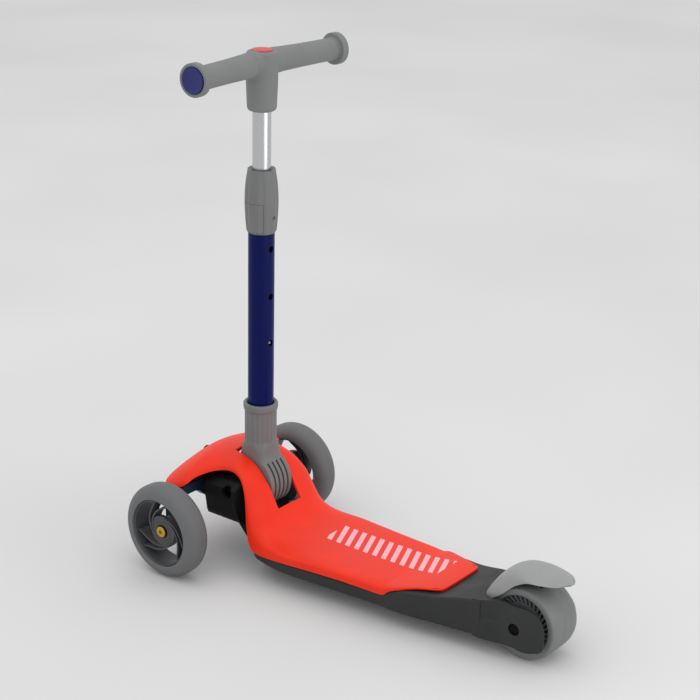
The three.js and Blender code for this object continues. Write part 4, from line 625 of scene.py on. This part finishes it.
def cheek_face(place):
    """Height of a cheek's outer face over its inner one, at a place on it."""
    step = kept_to_one((step_from - place.x) / step_run)
    away = hypot(place.x + wheelbase, place.y + rear_hub_height)
    fall = kept_to_one((away - fall_from) / fall_run)
    if place.x >= -wheelbase and place.y >= -rear_hub_height:
        fall *= kept_to_one((low_fall_run - wheelbase - place.x) / low_fall_run)
    front = front_depth * kept_to_one((place.x - front_from) / front_run)
    return cheek_thickness - step_depth * step * step * (3 - 2 * step) - fall_depth * fall * step - front


both_cheeks = bmesh.new()
for sign in (1, -1):
    outline = cheek_top + [
        (cheek_back[0] - cheek_round * sin(radians(a)), cheek_back[1] + cheek_round * cos(radians(a)))
        for a in range(0, 91, 6)
    ] + [
        (cheek_foot[0] - cheek_foot_round * cos(radians(a)), cheek_foot[1] - cheek_foot_round * sin(radians(a)))
        for a in range(6, 91, 12)
    ]
    cheek = pushed_out([(x, -z) for x, z in outline], cheek_thickness)
    cuts = [((x, 0, 0), (1, 0, 0)) for x in cuts_along] + [((0, -z, 0), (0, 1, 0)) for z in cuts_up]
    for point, normal in cuts:
        whole_cheek = cheek.verts[:] + cheek.edges[:] + cheek.faces[:]
        bmesh.ops.bisect_plane(cheek, geom=whole_cheek, plane_co=point, plane_no=normal, dist=0.001)
    for vert in cheek.verts:
        if vert.co.z > cheek_thickness / 2:
            vert.co.z = cheek_face(vert.co)
    brought_in(cheek, rod(axle_boss_radius, *axle_boss_span, 32), at(-wheelbase, -rear_hub_height, 0))
    place = at(0, sign * cheek_inner, 0) @ Matrix.Diagonal((1, sign, 1, 1)) @ upright_to_side
    brought_in(both_cheeks, cheek, place)
cheeks = made_piece("cheeks", both_cheeks, whole_model, black_nylon)
for sign in (1, -1):
    ends = sorted((sign * (cheek_outer - recess_depth), sign * (cheek_outer + 6)))
    combine(cheeks, rod(recess_radius, *ends, 48), at_rear_axle)

# Ribs: two thin walls across the hollow of the tray and two along it, moulded in one with it of the same
# nylon. They stiffen it, and aren't seen from above.
rib_start = -72
rib_pitch = 110
rib_width = 2.5
rib_bottom = 25
rib_gap = 2
long_rib_sizes = (306, rib_width, 9)
long_rib_place = (-230, 23, 29.5)
ribs = bmesh.new()
for count in range(1, 3):
    x = rib_start - count * rib_pitch
    share = min(range(101), key=lambda i: abs(through(tray_rows, i / 100)[0] - x)) / 100
    half_width, top = through(tray_rows, share)[1:]
    rib_sizes = (rib_width, 2 * (half_width - rib_gap), top - rib_gap - rib_bottom)
    add_block(ribs, rib_sizes, at(x, 0, (rib_bottom + top - rib_gap) / 2))
for side in (-1, 1):
    x, y, z = long_rib_place
    add_block(ribs, long_rib_sizes, at(x, side * y, z))
whole_tray = brought_in(reopened(tail_tray, cheeks), ribs, whole_model)
deck_tray = made_piece("deck_tray", whole_tray, Matrix.Identity(4), black_nylon)
soften_edges(deck_tray, 0.9, segments=2, least=40)
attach(deck_tray, "deck")
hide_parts("chassis")

# Head block: the black nylon moulding inside the hump, with the pins and screws that go through it. Its
# faces are hidden in the arch but for its lower flank, so the solid pieces stay and take real finishes.
# Moulded nylon of the head: black and dull, so that it sinks into the shade of the arch.
dark_nylon = moulded("moulded_nylon_dark", "070708", 0.72, 1.8, 0.05, specular=0.25)


def give_finish(finish, *names):
    """Gives solid pieces of the frame a finish."""
    for name in names:
        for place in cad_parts[name].material_slots:
            place.material = finish


def metal(name, colour, roughness, streak, along=(1, 1, 1), metallic=1.0):
    """Bare or plated metal: its gloss is broken by the streaks or the crystals of how its surface was made."""
    gloss_change = 0.07
    finish = new_finish(name, colour, roughness, metallic)
    place = add_node(finish, "TexCoord").outputs["Object"]
    drawn = add_node(finish, "Mapping", {"Vector": place, "Scale": along}).outputs["Vector"]
    # Real streaks and crystals are finer. They are drawn coarser, so that they show.
    lines = add_node(finish, "TexNoise", {"Vector": drawn, "Scale": 1 / (streak * mm), "Detail": 4.0}).outputs[0]
    gloss = add_node(finish, "MapRange", {
        "Value": lines, "From Min": noise_low, "From Max": noise_high,
        "To Min": roughness - gloss_change, "To Max": roughness + gloss_change,
    })
    feed(finish, "Roughness", gloss.outputs["Result"])
    bump = add_node(finish, "Bump", {"Height": lines, "Strength": 0.2, "Distance": 0.01 * mm})
    feed(finish, "Normal", bump.outputs["Normal"])
    return finish


# Zinc plated steel: bright and slightly blue, with a fine crystal mottle.
zinc_steel = metal("zinc_plated_steel", "9A9DA1", 0.36, 1.2)
# Yellow passivated steel: zinc with a gold chromate film, as on cheap axle screws.
gold_steel = metal("yellow_passivated_steel", "C9A24B", 0.32, 1.0)
# Black oxide steel of the rear axle, the fold pin and the brake shoe: dull, and nearly black in a recess.
black_steel = metal("black_oxide_steel", "17171A", 0.5, 1.2)
# Nitrile seals of the ball bearings: black rubber discs between the rings.
black_seal = moulded("nitrile_bearing_seal", "161617", 0.6, 1.2, 0.03)
# Lean bushing: a block of cast rubber, matt with a bloom.
bushing_rubber = moulded("cast_rubber_black", "121212", 0.85, 1.4, 0.06)
give_finish(dark_nylon, "head_block", "truck_beam", "column_bush", "fold_button")
give_finish(zinc_steel, "kingpin", "kingpin_nut", "axle_nut_left", "axle_nut_right")
give_finish(zinc_steel, "brake_pin", "clamp_screw", "snap_leaf", "snap_button")
give_finish(gold_steel, "belly_bolt_left", "belly_bolt_right")
give_finish(black_steel, "rear_axle_bolt", "rear_axle_nut", "fold_pin", "fold_pin_nut", "brake_shoe")
give_finish(bushing_rubber, "lean_bushing")
in_and_out = ("inner", "outer")
for wheel, ends in [("wheel_left", in_and_out), ("wheel_right", in_and_out), ("rear_wheel", ("left", "right"))]:
    give_finish(black_seal, *(wheel + "_" + end + "_bearing" for end in ends))
    give_finish(zinc_steel, wheel + "_spacer")

# Axle arms: two cranked steel bars that run from the truck out and down to the front axles. They are powder
# coated dark blue, and the solid pieces stay and take that finish.
# Powder coat on steel: a dark blue film with a soft gloss, a little uneven.
blue_steel = metal("powder_coated_steel_dark_blue", "24405A", 0.45, 1.6, metallic=0.0)
give_finish(blue_steel, "axle_arm_left", "axle_arm_right")

# Front tyres: solid cast polyurethane, round shouldered, with the faint flash line of the mould round the
# middle. They are pressed on the rims.
front_radius = 60
front_bore = 43.6
front_half_width = 17
shoulder = 13.5
flash_height = 0.1
half_track = 122
left_wheel = whole_model @ at(0, half_track, front_radius) @ upright_to_side
right_wheel = whole_model @ at(0, -half_track, front_radius) @ turned(pi, "Z") @ upright_to_side
front_wheels = [("left", left_wheel), ("right", right_wheel)]


def tyre_profile(bore, radius, half_width, run, drop):
    """Section of a tyre, up one side, over the tread with its flash line and down the other side."""
    up = [
        (radius - drop * (1 - sin(radians(a))), half_width - run * (1 - cos(radians(a)))) for a in range(0, 91, 9)
    ]
    tread = up + [(radius, 0.5), (radius + flash_height, 0)]
    lower = [(r, -h) for r, h in reversed(tread[:-1])]
    return [(bore, half_width)] + tread + lower + [(bore, -half_width), (bore, half_width)]


# Cast polyurethane: smooth, waxy and matt, a warm mid grey with faint handling marks.
tyre_grey = moulded("cast_polyurethane_grey", "666768", 0.6, 2.2, 0.03, cloud=0.08)
for side, place in front_wheels:
    profile = tyre_profile(front_bore, front_radius - flash_height, front_half_width, shoulder, shoulder)
    tread = spun(profile, 128)
    tyre = made_piece("tyre_tread_" + side, eased(tread, 0.8, least=55), place, tyre_grey)
    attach(tyre, "wheel_" + side)
    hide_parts("tyre_" + side)

# Front rims: moulded nylon, one band under the tyre, a flat hub with its bearings, and three swept spokes,
# each of two thin curved blades that rise a little towards the band.
band_outer = 43.3
band_inner = 41
band_half_width = 14.5
hub_disc = 20
hub_barrel = 14.5
hub_face = 8
hub_disc_thickness = 5
seat_step = 0.15
lip_foot = 13
lip_edge = 12
lip_height = 0.8
lip_bore = 8.8
hub_back = -13
blade_width = 2.3
blade_height = 15
blade_rise = 3.5
blade_sweep = radians(-122)
blade_spread = radians(-31)
blade_round = 0.5
blade_overlap = 1.2
first_blade = radians(164)
bearing_seat = 11.2


def swept(share, start, end, turn):
    """A point of a blade's line, which leaves the hub steeply and then runs round towards the band."""
    radius = start + (end - start) * share
    angle = turn + blade_sweep * share * (2 - share)
    return Vector((radius * cos(angle), radius * sin(angle), 0))


def blade(turn, steps=20):
    """One blade of a spoke, as thick as its width all the way along. Its points lie closer near the hub."""
    start = hub_barrel - blade_width / 2
    end = band_inner + blade_overlap
    line = [swept((i / steps) ** 1.6, start, end, turn) for i in range(steps + 1)]
    sides = ([], [])
    for i, point in enumerate(line):
        along = (line[min(i + 1, steps)] - line[max(i - 1, 0)]).normalized()
        across = Vector((-along.y, along.x, 0)) * blade_width / 2
        sides[0].append((point + across).to_2d())
        sides[1].append((point - across).to_2d())
    shape = eased(pushed_out(sides[0] + sides[1][::-1], blade_height), blade_round, segments=2, least=60)
    for vert in shape.verts:
        vert.co.z += blade_rise * (vert.co.to_2d().length - start) / (end - start)
    return shape


def rim_shape():
    """A front rim about the upright axis, with its outer side up."""
    rim = eased(band(band_inner, band_outer, -band_half_width, band_half_width, 96), 0.7)
    hub = spun([
        (bearing_seat, hub_back), (hub_barrel, hub_back), (hub_barrel, hub_face - hub_disc_thickness),
        (hub_disc, hub_face - hub_disc_thickness), (hub_disc, hub_face), (lip_foot, hub_face),
        (lip_edge, hub_face + lip_height), (lip_bore, hub_face + lip_height), (lip_bore, hub_face + seat_step),
        (bearing_seat, hub_face + seat_step), (bearing_seat, hub_back),
    ], 72)
    brought_in(rim, eased(hub, 0.9))
    for count in range(3):
        for spread in (0, blade_spread):
            turn = first_blade + count * 2 * pi / 3 + spread
            brought_in(rim, blade(turn), at(0, 0, hub_face + 0.2 - blade_height))
    return rim


# Moulded nylon of the rims: dark grey, satin, with a light grain.
rim_nylon = moulded("moulded_nylon_dark_grey", "424347", 0.5, 1.8, 0.04)
for side, place in front_wheels:
    rim = made_piece("spoked_rim_" + side, rim_shape(), place, rim_nylon)
    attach(rim, "wheel_" + side)
    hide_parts("rim_" + side)

# Axle screws: round headed steel with a hexagon socket, turned, then zinc plated and passivated yellow. Each
# goes through the bearings of a front wheel and is held by a nut.
head_radius = 7.2
head_from = 8.3
head_to = 11.8
socket_radius = 3
socket_middle = 12.4
socket_depth = 6
shank_radius = 3.8
shank_end = -44
for side, place in front_wheels:
    head = eased(rod(head_radius, head_from, head_to, 64), 1.3, segments=4)
    screw = made_piece("axle_screw_" + side, head, place, gold_steel)
    socket = bmesh.new()
    bmesh.ops.create_cone(
        socket, cap_ends=True, segments=6, radius1=socket_radius, radius2=socket_radius, depth=socket_depth,
        matrix=at(0, 0, socket_middle),
    )
    combine(screw, socket, place)
    shank = brought_in(reopened(screw), rod(shank_radius, shank_end, head_from + 0.3, 32), place)
    screw = made_piece("axle_screw_" + side, shank, Matrix.Identity(4), gold_steel)
    soften_edges(screw, 0.25)
    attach(screw, "front_truck")
    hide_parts("axle_bolt_" + side)

# Column foot: the grey nylon piece that the fold pin goes through. A drum with four deep slots over its rear
# flares up into a fluted neck, and a lip ring closes it round the tube.
fold_pivot = (-46.5, 0, 101)
column_lean = radians(2)
drum_radius = 36
drum_half_width = 19
slot_places = (-11.4, -3.8, 3.8, 11.4)
slot_width = 2.9
slot_depth = 11
slot_overrun = 8
slot_from = radians(180 - 64)
slot_turn = radians(116)
neck_start = 24
neck_radius = 20
neck_flutes = 20
flute_depth = 0.9
flutes_from = 50
round_from = 54
round_run = 24
flare_radius = 24
lip_radius = 21.6
foot_top = 104
lip_bottom = 93.5
on_column = whole_model @ at(*fold_pivot) @ turned(-column_lean, "Y")


def foot_neck(around, along):
    """A point of the neck: round and fluted above, and drawn out into the drum's flanks below."""
    height = neck_start + (lip_bottom + 1 - neck_start) * along
    flare_top = sqrt((drum_radius + flare_radius) ** 2 - (neck_radius + flare_radius) ** 2)
    sink = max(flare_top - height, 0)
    reach = neck_radius + flare_radius - sqrt(flare_radius ** 2 - sink ** 2)
    blend = kept_to_one((round_from - height) / round_run)
    half = neck_radius - (neck_radius - drum_half_width) * blend
    power = 2 / (2 + 3.5 * blend)
    angle = 2 * pi * around
    c, s = cos(angle), sin(angle)
    fluted = kept_to_one((height - flutes_from) / 4) * flute_depth * (1 - cos(neck_flutes * angle)) / 2
    shrink = 1 - fluted / neck_radius
    return Vector((
        shrink * reach * (abs(c) ** power) * (1 if c >= 0 else -1),
        shrink * half * (abs(s) ** power) * (1 if s >= 0 else -1),
        height,
    ))


# Grey nylon mouldings of the column: mid grey, satin, with the same fine grain all over.
column_grey = moulded("moulded_nylon_mid_grey", "727373", 0.48, 1.6, 0.04)
neck = skin(160, 44, foot_neck)
bmesh.ops.holes_fill(neck, edges=[e for e in neck.edges if e.is_boundary], sides=0)
bmesh.ops.recalc_face_normals(neck, faces=neck.faces)
foot = made_piece("fluted_foot", neck, on_column, column_grey)
on_drum = on_column @ upright_to_side
drum = eased(rod(drum_radius, -drum_half_width, drum_half_width, 128), 1.0)
combine(foot, drum, on_drum, "UNION")
for slot_place in slot_places:
    low, high = slot_place - slot_width / 2, slot_place + slot_width / 2
    slot = band(drum_radius - slot_depth, drum_radius + slot_overrun, low, high, 40, slot_turn)
    combine(foot, slot, on_drum @ turned(slot_from, "Z"))
lip_inner = 16.3
lip_ring = spun([
    (neck_radius - 3, lip_bottom), (lip_radius - 0.9, lip_bottom), (lip_radius, lip_bottom + 4),
    (lip_radius, foot_top), (lip_inner, foot_top), (lip_inner, lip_bottom),
], 96)
whole_foot = brought_in(reopened(foot), eased(lip_ring, 2.2, segments=5, least=50), on_column)
fluted_foot = made_piece("fluted_foot", whole_foot, Matrix.Identity(4), column_grey)
soften_edges(fluted_foot, 0.5, segments=2, least=38)
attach(fluted_foot, "column")
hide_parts("column_foot")

# Column tube: welded steel tube, drilled for the height setting and powder coated deep blue. It stands in the
# grey foot, and the stem slides in it.
tube_radius = 16
tube_wall = 1.6
tube_bottom = 42
tube_top = 352
hole_radius = 4
hole_heights = (185, 245, 305)
# Powder coat: deep blue and smooth, so the tube shows narrow highlights along its length.
blue_coat = moulded("powder_coated_steel_deep_blue", "020E50", 0.34, 2.4, 0.04, cloud=0.04, specular=0.12)
tube = band(tube_radius - tube_wall, tube_radius, tube_bottom, tube_top, 96)
blue_tube = made_piece("blue_tube", tube, on_column, blue_coat)
to_the_rear = turned(radians(-90), "Y")
for height in hole_heights:
    hole = rod(hole_radius, tube_radius / 2, tube_radius * 1.5, 40)
    combine(blue_tube, hole, on_column @ at(0, 0, height) @ to_the_rear)
soften_edges(blue_tube, 0.3)
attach(blue_tube, "column")
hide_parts("column_tube")

# Clamp sleeve: the grey nylon grip of the height setting, a barrel with soft flutes. A cover panel is let in
# on its left side, and the clamp screw sits in a hole in its rear.
sleeve_bottom = 324.5
sleeve_top = 402
sleeve_rows = [(18.5, sleeve_bottom + 2.6), (19.8, 342), (20.6, 363), (19.4, 385), (16.6, sleeve_top)]
skirt_radius = 17
skirt_height = 1.6
mouth_radius = 15.2
stem_hole = 11.6
tube_hole = 16.2
sleeve_flutes = 12
sleeve_flute_depth = 1.2
panel_from = radians(39)
panel_to = radians(140)
panel_top = 362.5
panel_inner = 16.7
wedge_reach = 24
panel_gap = 0.3
screw_height = 345
screw_hole_radius = 2.4


def sleeve_skin():
    """The sleeve's wall as one closed skin: up the fluted outside and down the bore."""
    skirt = [(skirt_radius, sleeve_bottom), (skirt_radius, sleeve_bottom + skirt_height)]
    bore = [
        (mouth_radius, sleeve_top), (stem_hole, sleeve_top - 2), (stem_hole, tube_top + 1),
        (tube_hole, tube_top + 1), (tube_hole, sleeve_bottom),
    ]
    ring = skirt + [through(sleeve_rows, i / 26) for i in range(27)] + bore

    def place(around, along):
        radius, height = ring[round(along * len(ring)) % len(ring)]
        angle = 2 * pi * around
        if radius > 17.5 or height > sleeve_bottom + 20 and radius > 16.5:
            fade = kept_to_one((sleeve_top - 1 - height) / 14)
            radius -= sleeve_flute_depth * (1 - cos(sleeve_flutes * angle)) / 2 * fade
        return Vector((radius * cos(angle), radius * sin(angle), height))

    return skin(144, len(ring), place)


def panel_wedge(gap):
    """The wedge of the sleeve's wall that the cover panel takes, with its place."""
    inner = panel_inner + gap
    inset = gap / inner
    span = panel_to - panel_from - 2 * inset
    sector = band(inner, wedge_reach, sleeve_bottom - 2, panel_top - gap, 36, span)
    return sector, on_column @ turned(panel_from + inset, "Z")


clamp_barrel = made_piece("clamp_barrel", sleeve_skin(), on_column, column_grey)
combine(clamp_barrel, *panel_wedge(0))
screw_hole = rod(screw_hole_radius, tube_radius, tube_radius * 1.5, 32)
combine(clamp_barrel, screw_hole, on_column @ at(0, 0, screw_height) @ to_the_rear)
soften_edges(clamp_barrel, 0.35, segments=2, least=40)
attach(clamp_barrel, "column")
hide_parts("clamp_sleeve")
cover_panel = made_piece("cover_panel", sleeve_skin(), on_column, column_grey)
combine(cover_panel, *panel_wedge(panel_gap), "INTERSECT")
soften_edges(cover_panel, 0.35, segments=2, least=40)
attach(cover_panel, "column")
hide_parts("clamp_panel")

# Stem: drawn aluminium tube, anodised in its natural silver. It slides in the column, is held at its height by
# the snap button, and carries the bar.
stem_radius = 11.1
stem_bore = 9.6
stem_bottom = 165
stem_top = 515
# Anodised aluminium: bright and satin, with fine lines along the tube from drawing.
anodised = metal("anodised_aluminium_silver", "C9CACC", 0.24, 0.9, along=(1, 1, 0.04))
stem = made_piece("stem_pipe", band(stem_bore, stem_radius, stem_bottom, stem_top, 96), on_column, anodised)
soften_edges(stem, 0.3)
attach(stem, "stem")
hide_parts("stem_tube")
give_finish(anodised, "cross_bar")

# T boss: the grey rubbery moulding that joins the stem and the bar. The barrel runs into the two saddles with
# soft fillets, as one moulding without a parting.
boss_bottom = 471.5
boss_top = 542
boss_radius = 18.8
bar_height = 528
bar_sweep = radians(4.5)
saddle_radius = 15.4
saddle_reach = 24
boss_taper = 1.4
boss_taper_run = 34
cap_seat_radius = 12.7
waste_radius = 26
voxel = 0.8
smoothing_passes = 14
# Thermoplastic rubber: soft, matt and a little chalky, so its highlights are wide and dull.
soft_grey = moulded("moulded_thermoplastic_rubber_grey", "7C7E7E", 0.68, 1.6, 0.05)
barrel = spun([
    (0, boss_bottom), (boss_radius - boss_taper, boss_bottom), (boss_radius, boss_bottom + boss_taper_run),
    (boss_radius, boss_top), (0, boss_top),
], 96)
eased(barrel, 4.5, segments=6, least=50)
boss = made_piece("tee_joint", barrel, on_column, soft_grey)
bar_lines = {
    sign: on_column @ at(0, 0, bar_height) @ turned(sign * bar_sweep, "Z")
    @ turned(radians(-90 * sign), "X")
    for sign in (1, -1)
}
saddle_end = saddle_reach + 5
for bar_line in bar_lines.values():
    saddle = spun([(0, 0), (saddle_radius, 0), (saddle_radius - 0.4, saddle_end), (0, saddle_end)], 96)
    combine(boss, saddle, bar_line, "UNION")
wax = boss.modifiers.new("wax", "REMESH")
wax.mode = "VOXEL"
wax.voxel_size = voxel * mm
fillets = reopened(settled(boss))
for _ in range(smoothing_passes):
    bmesh.ops.smooth_vert(
        fillets, verts=fillets.verts, factor=0.5, use_axis_x=True, use_axis_y=True, use_axis_z=True,
    )
tee_joint = made_piece("tee_joint", fillets, Matrix.Identity(4), soft_grey, crease=60)
combine(tee_joint, rod(cap_seat_radius, boss_top - 0.6, boss_top + 10, 72), on_column)
for bar_line in bar_lines.values():
    combine(tee_joint, rod(waste_radius, saddle_reach, saddle_reach + 14, 64), bar_line)
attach(tee_joint, "stem")
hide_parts("tee_boss")

# Red cap: a small disc with a rounded rim, moulded of ABS. It is pressed into a shallow seat and closes the top
# of the boss.
# Moulded ABS: a soft red with an even half gloss.
red_moulding = moulded("moulded_abs_red", "C23C33", 0.4, 1.6, 0.03)
cap_radius = 12.5
cap_from = 540
cap_to = 543.5
cap = eased(rod(cap_radius, cap_from, cap_to, 72), 1.2, segments=4)
tee_cap = made_piece("red_cap", cap, on_column, red_moulding)
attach(tee_cap, "stem")
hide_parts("tee_cap")

# Grips: thermoplastic rubber sleeves slipped over the bar, waisted in the middle, each with a round flange
# that keeps the hand on and a deep blue cap in its end.
grip_root = 24.3
flange_start = 116
grip_end = 125
grip_bore = 9.7
grip_body = [(14.8, grip_root), (14.3, 40), (13.8, 62), (13.6, 85), (13.6, flange_start)]
flange_radius = 19.2
cap_bore = 15.3
cap_floor = 122.9
plug_half_section = [(0, 123.2), (15, 123.2), (15, 126.2), (12.2, 126.2), (11.9, 125.7), (0, 125.7)]
# Moulded ABS of the end caps: deep blue, so the hollow of the grip's end stays dark.
blue_cap = moulded("moulded_abs_blue", "131E6A", 0.42, 1.6, 0.03)
for side, sign in [("left", 1), ("right", -1)]:
    sleeve = spun([(grip_bore, grip_root)] + grip_body + [
        (flange_radius, flange_start), (flange_radius, grip_end), (cap_bore, grip_end), (cap_bore, cap_floor),
        (grip_bore, cap_floor), (grip_bore, grip_root),
    ], 96)
    eased(sleeve, 2.4, segments=5, least=50, above=grip_root + 1)
    grip_sleeve = made_piece("grip_sleeve_" + side, sleeve, bar_lines[sign], soft_grey)
    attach(grip_sleeve, "stem")
    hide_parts("grip_" + side)
    disc = eased(spun(plug_half_section, 72), 0.5, segments=3, least=50)
    plug = made_piece("end_plug_" + side, disc, bar_lines[sign], blue_cap)
    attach(plug, "stem")
    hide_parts("end_cap_" + side)

# Rear tyre: broad cast polyurethane with round shoulders, lighter and glossier than the front ones. It is
# pressed on its rim.
rear_bore = 35.2
rear_radius = 45
rear_half_width = 24.5
rear_shoulder_run = 12.5
rear_shoulder_drop = 3.4
# Cast polyurethane of the rear tyre: lighter grey, with a wide soft highlight over its shoulders.
rear_grey = moulded("cast_polyurethane_light_grey", "6E6F6F", 0.46, 2.2, 0.03, cloud=0.06)
rear_profile = tyre_profile(
    rear_bore, rear_radius - flash_height, rear_half_width, rear_shoulder_run, rear_shoulder_drop,
)
rear_tread = spun(rear_profile, 112)
rear_tyre = made_piece("rear_tread", eased(rear_tread, 0.8, least=60), at_rear_axle, rear_grey)
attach(rear_tyre, "rear_wheel")
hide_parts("rear_tyre")

# Rear rim: moulded nylon, a hub inside a ring of radial fins that stiffen the band under the tyre. A ball
# bearing is pressed into each end of the hub.
fin_inner = 26.5
fin_outer = 33.9
rear_band_outer = 34.9
fin_count = 32
fin_width = 2.6
fin_slant = radians(28)
rim_half_width = 23
rear_hub_radius = 14
rear_hub_half_width = 24
web_half_width = 4
core_side = [
    (bearing_seat, rear_hub_half_width), (rear_hub_radius, rear_hub_half_width), (rear_hub_radius, rim_half_width),
    (fin_inner, rim_half_width),
]
rear_core = spun(core_side + [(radius, -place) for radius, place in core_side[::-1]] + core_side[:1], 96)
eased(rear_core, 0.8)
rear_band = band(fin_outer, rear_band_outer, -rim_half_width, rim_half_width, 96)
brought_in(rear_core, eased(rear_band, 0.4))
brought_in(rear_core, band(fin_inner - 1, fin_outer + 0.5, -web_half_width, web_half_width, 96))
fin_sizes = (fin_outer + 1.6 - fin_inner, fin_width, 2 * rim_half_width - 0.4)
for count in range(fin_count):
    turn = turned(2 * pi * (count + 0.5) / fin_count, "Z")
    turn = turn @ at((fin_inner + fin_outer) / 2, 0, 0) @ turned(fin_slant, "Z")
    brought_in(rear_core, eased(add_block(bmesh.new(), fin_sizes, turn), 0.35, segments=1))
# Moulded nylon of the fins: dark grey and satin, so that each fin shows a lit edge.
fin_nylon = moulded("moulded_nylon_fins_grey", "4E4F52", 0.5, 1.8, 0.04)
finned_rim = made_piece("finned_rim", rear_core, at_rear_axle, fin_nylon)
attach(finned_rim, "rear_wheel")
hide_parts("rear_rim")

# Brake fender: the light grey nylon pedal over the rear wheel. It turns about a pin in front of the wheel,
# has a crown like a beak, and presses a steel shoe on the tyre.
brake_pin = -411
brake_run = 100
brake_half_width = 28.5
brake_crown = 112
brake_wall = 2.4
brake_pin_height = 62
lug_radius = 5.5
lug_width = 18
web_inner = 52.4
web_outer = 60
web_thickness = 2.4
web_from = radians(-98)
web_turn = radians(32)
# Rows of the fender from its tail to its front, as shares of its length, width and height: the same six values
# as in the rows of the deck shell.
brake_rows = [
    (1.0, 0.925, 0.985, 0.2, 0.918, 2.2),
    (0.95, 0.926, 0.94, 0.42, 0.91, 2.2),
    (0.85, 0.928, 0.87, 0.66, 0.903, 2.2),
    (0.67, 0.934, 0.71, 0.88, 0.9, 2.2),
    (0.5, 0.947, 0.56, 0.97, 0.89, 2.4),
    (0.34, 0.945, 0.41, 1.0, 0.82, 2.7),
    (0.17, 0.868, 0.25, 1.0, 0.69, 3),
    (0.05, 0.735, 0.12, 1.0, 0.605, 3.2),
    (-0.02, 0.64, 0.06, 0.93, 0.58, 3),
]
fender_rows = measured(brake_rows, brake_pin, brake_run, brake_half_width, brake_crown)
# Moulded nylon of the brake: light grey and satin, with a fine grain.
brake_grey = moulded("moulded_nylon_light_grey", "949595", 0.42, 1.6, 0.03)
fender_shape = skin(56, 72, lambda across, along: crowned(fender_rows, across, along))
fender = made_piece("fender", fender_shape, whole_model, brake_grey)
give_wall(fender, brake_wall)
lug = bmesh.new()
bmesh.ops.create_cone(
    lug, cap_ends=True, segments=40, radius1=lug_radius, radius2=lug_radius, depth=lug_width,
    matrix=at(brake_pin, 0, brake_pin_height) @ upright_to_side,
)
neck_block = pushed_out([
    (brake_pin - lug_radius, -brake_pin_height), (brake_pin + 2.8, -brake_pin_height), (brake_pin + 2.8, -67.5),
    (-414, -75), (-421, -76),
], lug_width)
brought_in(lug, neck_block, at(0, -lug_width / 2, 0) @ upright_to_side)
over_the_wheel = at(-wheelbase, 0, rear_hub_height) @ upright_to_side
for side in (-lug_width / 2, lug_width / 2):
    web = band(web_inner, web_outer, side - web_thickness / 2, side + web_thickness / 2, 20, web_turn)
    brought_in(lug, web, over_the_wheel @ turned(web_from, "Z"))
whole_fender = brought_in(reopened(fender), lug, whole_model)
brake_pedal = made_piece("brake_pedal", whole_fender, Matrix.Identity(4), brake_grey)
soften_edges(brake_pedal, 0.8, segments=3, least=50)
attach(brake_pedal, "brake")
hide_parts("brake_fender")
